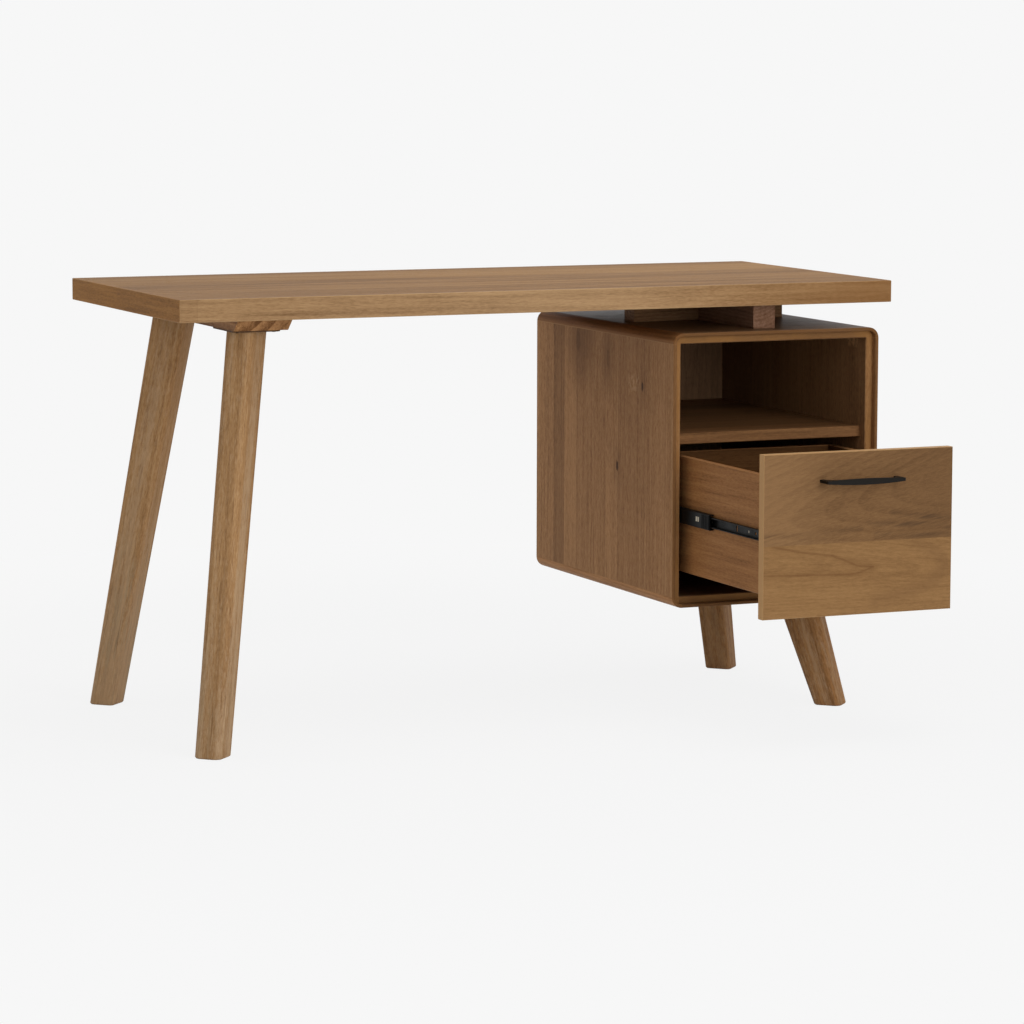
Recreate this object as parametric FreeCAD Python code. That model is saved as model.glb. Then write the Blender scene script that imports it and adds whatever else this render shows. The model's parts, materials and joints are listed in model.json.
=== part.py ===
import FreeCAD, Part
import math
import os

V = FreeCAD.Vector

# A writing desk: a thick lipped desktop stands at its left end on two tall splayed legs and a rail,
# and at its right end on a pedestal cabinet with two short splayed legs. The cabinet has an open
# cubby above one deep drawer, which runs on telescopic ball slides and is modelled part open.
# Millimetres, +X to the right, +Y to the back, +Z up, floor at Z = 0.

# Desktop
desk_height = 762.0
top_length = 1320.0
top_depth = 585.0
top_thickness = 38.0
lipping = 6.0
edge_round = 1.5

# Pedestal cabinet
cabinet_width = 400.0
cabinet_height = 478.0
cabinet_inset = 24.0
panel = 19.0
lip = 6.0
lip_reach = 12.0
lip_ease = 1.2
inner_ease = 1.5
back_thickness = 6.0
back_rebate = 10.0
tongue_thickness = 5.0
tongue_land = 1.0
tongue_stop = 20.0
shelf_housing = 6.0

# Battens between cabinet and desktop
batten_height = 44.0
batten_width = 42.0
cross_batten_setback = 52.0
centre_batten_setback = 52.5
batten_bolt_inset = 40.0

# Rail under the desktop's left end
rail_thickness = 21.0
rail_width = 96.0
rail_end_slope = 24.0
rail_end_margin = 3.0
rail_offset = 5.0
rail_screw_spread_x = 60.0
rail_screw_spread_y = 150.0

# Legs: foot place, splay from foot to top, and section along and across the splay
left_foot_from_end = 53.0
left_foot_from_edge = 5.5
left_leg_splay = 100.0
right_foot_from_end = 72.5
right_foot_from_edge = 72.5
right_leg_splay = 46.0
leg_foot_width = 50.0
left_leg_top_width = 68.0
right_leg_top_width = 74.0
leg_thickness = 50.0
leg_outer_corner = 14.0
leg_inner_corner = 9.0
foot_ease = 2.0

# Leg plates and hanger bolts
plate_thickness = 2.5
plate_margin_x = 10.0
plate_margin_y = 36.0
plate_corner = 6.0
plate_shift_x = 4.0
plate_shift_y = 10.0
plate_screw_inset = 10.0
hanger_radius = 4.0
hanger_in_leg = 36.0
hanger_above_plate = 14.0

# Drawer
drawer_open = 317.0
drawer_front_height = 277.5
drawer_front_thickness = 18.0
drawer_reveal = 2.0
drawer_floor_gap = 1.5
drawer_joint_height = 123.5
shelf_cover = 15.5
box_lift = 39.0
box_top_gap = 21.0
box_board = 12.0
bottom_thickness = 5.0
bottom_lift = 10.0
bottom_groove = 5.0
dowel_radius = 3.0
dowel_in_side = 8.0
dowel_in_end = 16.0
dowel_edge_gap = 45.0

# Drawer pull
pull_length = 149.0
pull_reach = 29.0
pull_end_height = 4.8
pull_top_rise = 2.0
pull_bottom_drop = 3.5
pull_bar = 6.0
pull_leg = 9.0
pull_outer_corner = 4.0
pull_arch_share = 0.9
pull_below_box_top = 11.5

# Telescopic slides
slide_length = 400.0
slide_setback = 5.0
slide_space = 13.0
slide_height = 35.0
sheet = 1.2
bend = 1.6
outer_edge_gap = 4.0
outer_lip = 1.2
outer_ball = 2.2
middle_shorter = 40.0
middle_setback = 25.0
middle_edge_gap = 2.0
middle_lip = 1.0
inner_shorter = 10.0
inner_edge_gap = 0.8
inner_ball = 2.95
ball_play = 0.3
balls_per_row = 3
cage_sheet = 0.6
cage_play = 0.2
outer_cage_edge_gap = 1.7
inner_cage_edge_gap = 0.925
cage_length = 100.0
outer_cage_place = 142.0
inner_cage_behind_cap = 21.75
cap_length = 31.0
cap_ribs = 5
cap_rib_height = 0.6
cap_rib_width = 2.5
hole_from_front = 26.0
slot_from_front = 96.0
slot_width = 5.0
slot_height = 10.0
slide_screw_front = 52.0
slide_screw_rear = 60.0

# Fasteners: small round pieces are made with flat sides to keep the model light
fastener_sides = 6
ball_sides = 8
hole_play = 0.15
screw_radius = 2.0
screw_head_radius = 4.0
screw_head_height = 2.2
screw_point = 2.0
plate_screw_length = 14.0
rail_screw_length = 36.0
back_screw_length = 20.0
back_screw_inset = 90.0
back_screw_below_shelf = 44.0
front_screw_length = 24.0
front_screw_spread_x = 220.0
front_screw_spread_z = 90.0
pull_screw_radius = 1.6
pull_screw_bite = 12.0
slide_screw_length = 10.0
slide_screw_radius = 1.8
slide_screw_head = 3.0
batten_bolt_radius = 3.0
batten_bolt_head_radius = 6.0
batten_bolt_head_height = 3.5
insert_radius = 5.0
insert_length = 13.0

# Places that follow from the sizes above
top_underside = desk_height - top_thickness
front_y = -top_depth / 2
back_y = top_depth / 2
left_end_x = -top_length / 2
right_end_x = top_length / 2

cabinet_x1 = right_end_x - cabinet_inset
cabinet_x0 = cabinet_x1 - cabinet_width
cabinet_x = (cabinet_x0 + cabinet_x1) / 2
cabinet_z1 = top_underside - batten_height
cabinet_z0 = cabinet_z1 - cabinet_height
inner_x0 = cabinet_x0 + panel
inner_x1 = cabinet_x1 - panel
inner_z0 = cabinet_z0 + panel
inner_z1 = cabinet_z1 - panel
recess_y = front_y + lip_reach
back_panel_y = back_y - back_thickness
tongue_depth = (panel - tongue_thickness) / 2 - tongue_land

drawer_front_z0 = inner_z0 + drawer_floor_gap
drawer_front_z1 = drawer_front_z0 + drawer_front_height
drawer_front_x0 = inner_x0 + drawer_reveal
drawer_front_x1 = inner_x1 - drawer_reveal
box_y0 = recess_y + drawer_front_thickness
box_y1 = box_y0 + slide_length
box_x0 = inner_x0 + slide_space
box_x1 = inner_x1 - slide_space
shelf_y = box_y0 + drawer_reveal
shelf_z0 = drawer_front_z1 - shelf_cover
shelf_z1 = shelf_z0 + panel
box_z0 = drawer_front_z0 + box_lift
box_z1 = shelf_z0 - box_top_gap
slide_z = (box_z0 + box_z1) / 2
slide_y = box_y0 + slide_setback
pull_z = box_z1 - pull_below_box_top
pull_screw_length = box_board + drawer_front_thickness + pull_screw_bite

cross_batten_half = cabinet_width / 2 - cross_batten_setback
centre_batten_half = top_depth / 2 - centre_batten_setback

left_leg_x = left_end_x + left_foot_from_end + left_leg_splay
left_leg_y = back_y - left_foot_from_edge - left_leg_splay
leg_top_widest = max(left_leg_top_width, right_leg_top_width)
plate_width = leg_top_widest + plate_margin_x
plate_length = leg_top_widest + plate_margin_y
rail_x = left_leg_x + plate_shift_x + rail_offset
rail_z0 = top_underside - rail_thickness
rail_half = left_leg_y - plate_shift_y + plate_length / 2 + rail_end_margin + rail_end_slope

middle_share = 0.5
outer_cage_share = middle_share / 2
inner_cage_share = (1 + middle_share) / 2
inner_cage_lead = (inner_cage_share - middle_share) * drawer_open
inner_cage_place = middle_setback + cap_length + inner_cage_lead + inner_cage_behind_cap
middle_length = slide_length - middle_shorter
inner_length = slide_length - inner_shorter
middle_web = sheet + cage_sheet + 2 * cage_play
outer_edge = slide_space - outer_edge_gap
middle_edge = slide_space - middle_edge_gap
inner_edge = middle_web + sheet + cage_play + cage_sheet + inner_edge_gap
middle_height = slide_height - 2 * (sheet + outer_ball + 2 * ball_play)
inner_height = middle_height - 2 * (sheet + inner_ball + 2 * ball_play)
slide_screw_ys = [slide_y + slide_screw_front,
                  slide_y + (slide_screw_front + inner_length - slide_screw_rear) / 2,
                  slide_y + inner_length - slide_screw_rear]

UP = V(0, 0, 1)
DOWN = V(0, 0, -1)
RIGHT = V(1, 0, 0)
LEFT = V(-1, 0, 0)
FRONT = V(0, -1, 0)

parts = {}


def box(x0, x1, y0, y1, z0, z1):
    """Rectangular block between two corners."""
    return Part.makeBox(x1 - x0, y1 - y0, z1 - z0, V(x0, y0, z0))


def outline(corners, place):
    """Closed wire through corners (a, b) or (a, b, radius); place turns (a, b) into a point."""
    count = len(corners)
    bends = []
    for i, corner in enumerate(corners):
        here = V(corner[0], corner[1], 0)
        radius = corner[2] if len(corner) > 2 else 0.0
        before = V(corners[i - 1][0], corners[i - 1][1], 0)
        after = V(corners[(i + 1) % count][0], corners[(i + 1) % count][1], 0)
        to_before = (before - here).normalize()
        to_after = (after - here).normalize()
        half = to_before.getAngle(to_after) / 2
        inward = (to_before + to_after).normalize()
        reach = radius / math.tan(half)
        middle = here + inward * (radius / math.sin(half) - radius)
        bends.append((here + to_before * reach, middle, here + to_after * reach))
    edges = []
    for i, (start, middle, end) in enumerate(bends):
        if start.distanceToPoint(end) > 1e-6:
            edges.append(Part.Arc(place(start), place(middle), place(end)).toShape())
        following = bends[(i + 1) % count][0]
        if end.distanceToPoint(following) > 1e-6:
            edges.append(Part.LineSegment(place(end), place(following)).toShape())
    return Part.Wire(edges)


def prism_x(corners, x0, x1):
    """Extrude a (y, z) outline along X."""
    return Part.Face(outline(corners, lambda p: V(x0, p.x, p.y))).extrude(V(x1 - x0, 0, 0))


def prism_y(corners, y0, y1):
    """Extrude an (x, z) outline along Y."""
    return Part.Face(outline(corners, lambda p: V(p.x, y0, p.y))).extrude(V(0, y1 - y0, 0))


def prism_z(corners, z0, z1):
    """Extrude an (x, y) outline along Z."""
    return Part.Face(outline(corners, lambda p: V(p.x, p.y, z0))).extrude(V(0, 0, z1 - z0))


def rectangle(x0, x1, y0, y1, radius=0.0):
    """Corners of a rectangle, all with one radius."""
    return [(x0, y0, radius), (x1, y0, radius), (x1, y1, radius), (x0, y1, radius)]


def cut_rectangle(x0, x1, y0, y1, cut):
    """Corners of a rectangle whose corners are cut off at 45 degrees."""
    return [(x0 + cut, y0), (x1 - cut, y0), (x1, y0 + cut), (x1, y1 - cut),
            (x1 - cut, y1), (x0 + cut, y1), (x0, y1 - cut), (x0, y0 + cut)]


def turned(profile, at, direction, sides=fastener_sides):
    """Flat-sided turning of a (radius, height) profile, its height pointing along direction."""
    angles = [2 * math.pi * i / sides for i in range(sides + 1)]
    faces = []
    for (r0, h0), (r1, h1) in zip(profile, profile[1:] + profile[:1]):
        for a, b in zip(angles, angles[1:]):
            corners = [V(r0 * math.cos(a), r0 * math.sin(a), h0), V(r1 * math.cos(a), r1 * math.sin(a), h1)]
            if r1 > 0:
                corners.append(V(r1 * math.cos(b), r1 * math.sin(b), h1))
            if r0 > 0:
                corners.append(V(r0 * math.cos(b), r0 * math.sin(b), h0))
            if len(corners) > 2:
                faces.append(Part.Face(Part.makePolygon(corners + corners[:1])))
    shell = Part.makeShell(faces)
    shell.sewShape()
    solid = Part.Solid(shell).removeSplitter()
    if solid.Volume < 0:
        solid.reverse()
    solid.Placement = FreeCAD.Placement(at, FreeCAD.Rotation(UP, direction))
    return solid


def pan_screw(at, direction, length, radius=screw_radius, head=screw_head_radius, height=screw_head_height):
    """Screw whose flat-bottomed head sits on a surface and whose shank goes along direction."""
    profile = [(0, -height), (head, -height), (head, 0), (radius, 0)]
    profile += [(radius, length - screw_point), (0, length)]
    return turned(profile, at, direction)


def flush_screw(at, direction, length, radius, head, depth):
    """Countersunk screw whose head is level with the surface."""
    profile = [(0, 0), (head, 0), (radius, depth), (radius, length - screw_point), (0, length)]
    return turned(profile, at, direction)


def flush_hole(at, direction, length, radius, head, depth):
    """Cutter for a countersunk screw, wider than the screw by the hole play."""
    r = radius + hole_play
    h = head + hole_play
    return turned([(0, 0), (h, 0), (r, depth), (r, length), (0, length)], at, direction)


def bore(at, direction, length, radius):
    """Cutter for a straight hole, wider than what it takes by the hole play."""
    r = radius + hole_play
    return turned([(0, 0), (r, 0), (r, length), (0, length)], at, direction)


def drilled(solid, cutters):
    """The solid with all the cutters taken out."""
    return solid.cut(Part.makeCompound(cutters)) if cutters else solid


def moved(shape, y=0.0, z=0.0):
    """Copy of a shape moved along Y and Z."""
    copy = shape.copy()
    copy.translate(V(0, y, z))
    return copy


def mirrored(shape):
    """Copy of a left-hand piece of the cabinet for its right-hand side."""
    return shape.mirror(V(cabinet_x, 0, 0), RIGHT)


# Desktop: a board with a mitred lipping along each edge


def desktop():
    core_x = top_length / 2 - lipping
    core_y = top_depth / 2 - lipping
    core = box(-core_x, core_x, -core_y, core_y, top_underside, desk_height)
    outer = box(left_end_x, right_end_x, front_y, back_y, top_underside, desk_height)
    ring = outer.makeFillet(edge_round, outer.Edges).cut(core)
    holes = [bore(V(x, y, top_underside), UP, rail_screw_length - rail_thickness, screw_radius)
             for x, y in rail_screw_places()]
    holes += [bore(V(x, y, top_underside), UP, insert_length, insert_radius)
              for x, y in batten_bolt_places()]
    parts["desktop_core"] = drilled(core, holes)
    for name, corner, next_corner in (("front", (-1, -1), (1, -1)), ("right", (1, -1), (1, 1)),
                                      ("back", (1, 1), (-1, 1)), ("left", (-1, 1), (-1, -1))):
        far_x = core_x + 2 * lipping
        far_y = core_y + 2 * lipping
        mitre = [(sx * core_x, sy * core_y) for sx, sy in (corner, next_corner)]
        mitre += [(sx * far_x, sy * far_y) for sx, sy in (next_corner, corner)]
        parts["desktop_" + name + "_lipping"] = ring.common(prism_z(mitre, top_underside, desk_height))


# Rail, legs, leg plates and their fasteners


def rail_screw_places():
    return [(rail_x + sx * rail_screw_spread_x / 2, sy * rail_screw_spread_y / 2)
            for sx in (-1, 1) for sy in (-1, 1)]


def leg_data():
    """Name, foot, top and plate centres, outward signs, top width and seat height of each leg."""
    data = []
    for side, sx in (("left", -1), ("right", 1)):
        for end, sy in (("front", -1), ("back", 1)):
            if sx < 0:
                foot = V(left_end_x + left_foot_from_end, sy * (back_y - left_foot_from_edge), 0)
                splay, width, seat = left_leg_splay, left_leg_top_width, rail_z0
            else:
                foot = V(right_end_x - right_foot_from_end, sy * (back_y - right_foot_from_edge), 0)
                splay, width, seat = right_leg_splay, right_leg_top_width, cabinet_z0
            top = foot + V(-sx * splay, -sy * splay, seat - plate_thickness)
            plate = top + V(-sx * plate_shift_x, -sy * plate_shift_y, 0)
            data.append((end + "_" + side + "_leg", foot, top, plate, sx, sy, width))
    return data


def leg_section(centre, ease, along, sx, sy):
    """Rounded rectangle, drawn in all round by ease, its first side along the diagonal of the splay."""
    c = sx * math.sqrt(0.5)
    s = sy * math.sqrt(0.5)
    half = along / 2 - ease
    side = leg_thickness / 2 - ease
    outer = leg_outer_corner - ease
    inner = leg_inner_corner - ease
    corners = [(-half, -side, inner), (half, -side, outer), (half, side, outer), (-half, side, inner)]
    return outline(corners, lambda p: centre + V(c * p.x - s * p.y, s * p.x + c * p.y, 0))


def plate_screw_places(plate):
    reach_x = plate_width / 2 - plate_screw_inset
    reach_y = plate_length / 2 - plate_screw_inset
    return [plate + V(sx * reach_x, sy * reach_y, 0) for sx in (-1, 1) for sy in (-1, 1)]


def hanger_holes(side):
    """Cutters for the hanger bolts and plate screws in the piece that carries one side's legs."""
    cutters = []
    for name, foot, top, plate, sx, sy, width in leg_data():
        if sx == side:
            seat = V(0, 0, plate_thickness)
            cutters.append(bore(top + seat, UP, hanger_above_plate, hanger_radius))
            cutters += [bore(place + seat, UP, plate_screw_length - plate_thickness, screw_radius)
                        for place in plate_screw_places(plate)]
    return cutters


def legs():
    plates = []
    bolts = []
    screws = []
    for name, foot, top, plate, sx, sy, width in leg_data():
        lean = (top - foot) * (foot_ease / top.z)
        sections = [leg_section(foot, foot_ease, leg_foot_width, sx, sy),
                    leg_section(foot + lean, 0, leg_foot_width, sx, sy),
                    leg_section(top, 0, width, sx, sy)]
        leg = Part.makeLoft(sections, True, True)
        parts[name] = leg.cut(bore(top, DOWN, hanger_in_leg, hanger_radius))

        half_x = plate_width / 2
        half_y = plate_length / 2
        blank = cut_rectangle(plate.x - half_x, plate.x + half_x,
                              plate.y - half_y, plate.y + half_y, plate_corner)
        sheet_metal = prism_z(blank, top.z, top.z + plate_thickness)
        cutters = [bore(place, UP, plate_thickness, screw_radius) for place in plate_screw_places(plate)]
        cutters.append(bore(top, UP, plate_thickness, hanger_radius))
        plates.append(drilled(sheet_metal, cutters))

        bolt_length = hanger_in_leg + plate_thickness + hanger_above_plate
        bolt = [(0, 0), (hanger_radius, screw_point), (hanger_radius, bolt_length), (0, bolt_length)]
        bolts.append(turned(bolt, top - V(0, 0, hanger_in_leg), UP))
        screws += [pan_screw(place, UP, plate_screw_length) for place in plate_screw_places(plate)]
    parts["leg_plates"] = Part.makeCompound(plates)
    parts["leg_hanger_bolts"] = Part.makeCompound(bolts)
    parts["leg_plate_screws"] = Part.makeCompound(screws)


def leg_rail():
    profile = [(-rail_half, top_underside), (rail_half, top_underside),
               (rail_half - rail_end_slope, rail_z0), (-rail_half + rail_end_slope, rail_z0)]
    rail = prism_x(profile, rail_x - rail_width / 2, rail_x + rail_width / 2)
    screw = (rail_screw_length, screw_radius, screw_head_radius, screw_head_height)
    places = [V(x, y, rail_z0) for x, y in rail_screw_places()]
    parts["leg_rail"] = drilled(rail, [flush_hole(place, UP, *screw) for place in places] + hanger_holes(-1))
    parts["leg_rail_screws"] = Part.makeCompound([flush_screw(place, UP, *screw) for place in places])


# Cabinet: one wall profile, extruded for the panels and turned for the corner posts


def wall_profile():
    """Wall section as (depth into the wall, y): front lip, recessed edge, and rebate for the back."""
    return [(0, front_y + lip_ease), (lip_ease, front_y), (lip - lip_ease, front_y),
            (lip, front_y + lip_ease), (lip, recess_y), (panel - inner_ease, recess_y),
            (panel, recess_y + inner_ease), (panel, back_panel_y), (panel - back_rebate, back_panel_y),
            (panel - back_rebate, back_y), (lip_ease, back_y), (0, back_y - lip_ease)]


def wall(origin, inward, along):
    """Straight wall from a point on its outer face, with its thickness inward and its length along."""
    face = Part.Face(outline(wall_profile(), lambda p: origin + inward * p.x + V(0, p.y, 0)))
    return face.extrude(along)


def post(x, z, sx, sz):
    """Quarter-round corner post about the inner corner (x, z), toward the outer corner (sx, sz)."""
    face = Part.Face(outline(wall_profile(), lambda p: V(x + sx * (panel - p.x), p.y, z)))
    return face.revolve(V(x, 0, z), V(0, -sx * sz, 0), 90)


def tongues():
    """Loose tongues across the eight joints between posts and panels."""
    half = tongue_thickness / 2
    y0 = recess_y + tongue_stop
    y1 = back_panel_y - tongue_stop
    strips = []
    for x in (cabinet_x0 + panel / 2, cabinet_x1 - panel / 2):
        for z in (inner_z0, inner_z1):
            strips.append(box(x - half, x + half, y0, y1, z - tongue_depth, z + tongue_depth))
    for z in (cabinet_z0 + panel / 2, cabinet_z1 - panel / 2):
        for x in (inner_x0, inner_x1):
            strips.append(box(x - tongue_depth, x + tongue_depth, y0, y1, z - half, z + half))
    return strips


def batten_bolt_places():
    reach_x = cross_batten_half - batten_bolt_inset
    reach_y = centre_batten_half - batten_bolt_inset
    return [(cabinet_x - reach_x, 0), (cabinet_x + reach_x, 0),
            (cabinet_x, -reach_y), (cabinet_x, reach_y)]


def back_screw_places():
    edge = back_rebate / 2
    rows = [inner_z0 + back_screw_inset, shelf_z0 - back_screw_below_shelf, (shelf_z1 + inner_z1) / 2]
    places = [(x, z) for x in (inner_x0 - edge, inner_x1 + edge) for z in rows]
    return places + [(cabinet_x, inner_z0 - edge), (cabinet_x, inner_z1 + edge)]


def cabinet():
    strips = tongues()
    screw = (back_screw_length, screw_radius, screw_head_radius, screw_head_height)
    back_places = [V(x, back_y, z) for x, z in back_screw_places()]
    back_holes = [flush_hole(place, FRONT, *screw) for place in back_places]
    shelf = prism_x([(shelf_y, shelf_z0, edge_round), (back_panel_y, shelf_z0), (back_panel_y, shelf_z1),
                     (shelf_y, shelf_z1, edge_round)], inner_x0 - shelf_housing, inner_x1 + shelf_housing)
    parts["cabinet_shelf"] = shelf

    side_run = V(0, 0, inner_z1 - inner_z0)
    left = wall(V(cabinet_x0, 0, inner_z0), RIGHT, side_run)
    slide_holes = [bore(V(inner_x0, y, slide_z), LEFT, slide_screw_length, slide_screw_radius)
                   for y in slide_screw_ys]
    left = drilled(left, strips + back_holes + slide_holes).cut(shelf)
    parts["cabinet_left_side"] = left
    parts["cabinet_right_side"] = mirrored(left)

    across = V(inner_x1 - inner_x0, 0, 0)
    bolts = [V(x, y, inner_z1) for x, y in batten_bolt_places()]
    bolt_length = panel + batten_height + insert_length
    top = wall(V(inner_x0, 0, cabinet_z1), DOWN, across)
    bolt_holes = [bore(place, UP, bolt_length, batten_bolt_radius) for place in bolts]
    parts["cabinet_top_panel"] = drilled(top, strips + back_holes + bolt_holes)
    bottom = wall(V(inner_x0, 0, cabinet_z0), UP, across)
    parts["cabinet_bottom_panel"] = drilled(bottom, strips + back_holes + hanger_holes(1))

    for name, x, sx in (("left", inner_x0, -1), ("right", inner_x1, 1)):
        for level, z, sz in (("bottom", inner_z0, -1), ("top", inner_z1, 1)):
            parts["cabinet_" + level + "_" + name + "_post"] = drilled(post(x, z, sx, sz), strips)
    parts["cabinet_tongues"] = Part.makeCompound(strips)

    back = prism_y(rectangle(inner_x0 - back_rebate, inner_x1 + back_rebate,
                             inner_z0 - back_rebate, inner_z1 + back_rebate, back_rebate),
                   back_panel_y, back_y)
    parts["cabinet_back_panel"] = drilled(back, back_holes)
    parts["cabinet_back_screws"] = Part.makeCompound(
        [flush_screw(place, FRONT, *screw) for place in back_places])

    half_w = batten_width / 2
    lap_z = (cabinet_z1 + top_underside) / 2
    cross = box(cabinet_x - cross_batten_half, cabinet_x + cross_batten_half, -half_w, half_w,
                cabinet_z1, top_underside)
    centre = box(cabinet_x - half_w, cabinet_x + half_w, -centre_batten_half, centre_batten_half,
                 cabinet_z1, top_underside)
    lap = box(cabinet_x - half_w, cabinet_x + half_w, -half_w, half_w, cabinet_z1, lap_z)
    parts["cross_batten"] = drilled(cross.cut(lap), bolt_holes)
    parts["centre_batten"] = drilled(centre.cut(moved(lap, z=lap_z - cabinet_z1)), bolt_holes)
    head = (batten_bolt_radius, batten_bolt_head_radius, batten_bolt_head_height)
    parts["batten_bolts"] = Part.makeCompound([pan_screw(place, UP, bolt_length, *head) for place in bolts])
    wall_r = batten_bolt_radius + hole_play
    ring = [(wall_r, 0), (insert_radius, 0), (insert_radius, insert_length), (wall_r, insert_length)]
    parts["batten_insert_nuts"] = Part.makeCompound(
        [turned(ring, V(x, y, top_underside), UP) for x, y in batten_bolt_places()])


# Drawer, drawn closed and then moved out by its opening


def pull_screw_places():
    reach = (pull_length - pull_leg) / 2
    return [V(cabinet_x + sx * reach, box_y0 + box_board, pull_z) for sx in (-1, 1)]


def front_screw_places():
    reach_x = front_screw_spread_x / 2
    reach_z = front_screw_spread_z / 2
    return [V(cabinet_x + sx * reach_x, box_y0 + box_board, slide_z + sz * reach_z)
            for sx in (-1, 1) for sz in (-1, 1)]


def front_holes():
    """Cutters for the screws that hold the drawer front and its pull."""
    cutters = [bore(place, FRONT, front_screw_length, screw_radius) for place in front_screw_places()]
    return cutters + pull_holes()


def pull_holes():
    return [bore(place, FRONT, pull_screw_length, pull_screw_radius) for place in pull_screw_places()]


def drawer_front():
    """Front glued up from two boards, with eased edges all round its face."""
    whole = box(drawer_front_x0, drawer_front_x1, recess_y, box_y0, drawer_front_z0, drawer_front_z1)
    face_edges = [edge for edge in whole.Edges if edge.BoundBox.YMax < box_y0 - drawer_front_thickness / 2]
    whole = whole.makeFillet(edge_round, face_edges)
    whole = drilled(whole, front_holes())
    joint_z = drawer_front_z0 + drawer_joint_height
    lower = whole.common(box(drawer_front_x0, drawer_front_x1, recess_y, box_y0, drawer_front_z0, joint_z))
    upper = whole.common(box(drawer_front_x0, drawer_front_x1, recess_y, box_y0, joint_z, drawer_front_z1))
    return lower, upper


def drawer_bottom():
    z0 = box_z0 + bottom_lift
    inside = box_board - bottom_groove
    return box(box_x0 + inside, box_x1 - inside, box_y0 + inside, box_y1 - inside, z0, z0 + bottom_thickness)


def drawer_dowels():
    """Pairs of dowels that join the box's front and back to its sides."""
    pins = []
    inside = box_board - dowel_in_side
    for y in (box_y0 + box_board / 2, box_y1 - box_board / 2):
        for z in (box_z0 + dowel_edge_gap, box_z1 - dowel_edge_gap):
            pins.append((V(box_x0 + inside, y, z), RIGHT))
            pins.append((V(box_x1 - inside, y, z), LEFT))
    return pins


def drawer():
    closed = {}
    closed["drawer_front_lower_board"], closed["drawer_front_upper_board"] = drawer_front()
    bottom = drawer_bottom()
    dowel_length = dowel_in_side + dowel_in_end
    dowel_holes = [bore(at, way, dowel_length, dowel_radius) for at, way in drawer_dowels()]

    top_round = box_board / 8
    side = prism_y(rectangle(box_x0, box_x0 + box_board, box_z0, box_z1, top_round), box_y0, box_y1)
    side_screws = [bore(V(box_x0, y, slide_z), RIGHT, slide_screw_length, slide_screw_radius)
                   for y in slide_screw_ys]
    side = drilled(side.cut(bottom), dowel_holes + side_screws)
    closed["drawer_left_side"] = side
    closed["drawer_right_side"] = mirrored(side)
    inner = box(box_x0 + box_board, box_x1 - box_board, box_y0, box_y0 + box_board, box_z0, box_z1)
    back = box(box_x0 + box_board, box_x1 - box_board, box_y1 - box_board, box_y1, box_z0, box_z1)
    closed["drawer_inner_front"] = drilled(inner.cut(bottom), dowel_holes + front_holes())
    closed["drawer_back"] = drilled(back.cut(bottom), dowel_holes)
    closed["drawer_bottom"] = bottom
    pin = [(0, 0), (dowel_radius, 0), (dowel_radius, dowel_length), (0, dowel_length)]
    closed["drawer_dowels"] = Part.makeCompound([turned(pin, at, way) for at, way in drawer_dowels()])
    closed["drawer_front_screws"] = Part.makeCompound(
        [pan_screw(place, FRONT, front_screw_length) for place in front_screw_places()])
    closed["drawer_pull"] = drawer_pull()
    closed["drawer_pull_screws"] = Part.makeCompound(
        [pan_screw(place, FRONT, pull_screw_length, pull_screw_radius) for place in pull_screw_places()])
    for name, shape in closed.items():
        parts[name] = moved(shape, -drawer_open)


def drawer_pull():
    """Bow pull: taller at the middle, arched into a leg at each end that runs back to the drawer front."""
    half = pull_length / 2
    end = pull_end_height / 2
    wide = half + pull_outer_corner
    y0 = recess_y - pull_reach

    def bow(rise, side):
        """Arc through the pull's ends and its middle, carried on a little past the ends."""
        radius = (half ** 2 + rise ** 2) / (2 * rise)
        fall = rise - radius + math.sqrt(radius ** 2 - wide ** 2)
        points = [(-wide, end + fall), (0, end + rise), (wide, end + fall)]
        return [V(cabinet_x + x, y0, pull_z + side * z) for x, z in points]

    top = bow(pull_top_rise, 1)
    bottom = bow(pull_bottom_drop, -1)
    lens = Part.Wire([Part.Arc(*top).toShape(), Part.LineSegment(top[2], bottom[2]).toShape(),
                      Part.Arc(*reversed(bottom)).toShape(), Part.LineSegment(bottom[0], top[0]).toShape()])
    body = Part.Face(lens).extrude(V(0, pull_reach, 0))
    z0 = pull_z - end - pull_bottom_drop
    z1 = pull_z + end + pull_top_rise
    x0 = cabinet_x - half
    x1 = cabinet_x + half
    plan = [(x0, y0, pull_outer_corner), (x1, y0, pull_outer_corner), (x1, recess_y), (x0, recess_y)]
    gap_x0 = x0 + pull_leg
    gap_x1 = x1 - pull_leg
    gap_y = y0 + pull_bar
    arch = pull_arch_share * (recess_y - gap_y)
    gap = [(gap_x0, gap_y, arch), (gap_x1, gap_y, arch), (gap_x1, recess_y), (gap_x0, recess_y)]
    bow = body.common(prism_z(plan, z0, z1)).cut(prism_z(gap, z0, z1))
    return drilled(bow, pull_holes())


# Telescopic slides: channels of bent sheet, drawn closed on the left, u from the cabinet wall


def channel(u_web, u_edge, height, lip_in):
    """Outline of a C-channel with its web at u_web, open toward u_edge, and lips turned in."""
    way = 1 if u_edge > u_web else -1
    t = way * sheet
    h = height / 2
    half = [(u_web, -h, bend), (u_edge, -h), (u_edge, -h + sheet + lip_in)]
    if lip_in > 0:
        half += [(u_edge - t, -h + sheet + lip_in), (u_edge - t, -h + sheet)]
    half += [(u_web + t, -h + sheet)]
    mirror_half = [(corner[0], -corner[1]) + corner[2:] for corner in reversed(half)]
    return half + mirror_half


def slide_prism(corners, y0, length):
    """Extrude a (u, v) outline of the left slide along Y."""
    placed = [(inner_x0 + corner[0], slide_z + corner[1]) + corner[2:] for corner in corners]
    return prism_y(placed, y0, y0 + length)


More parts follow.
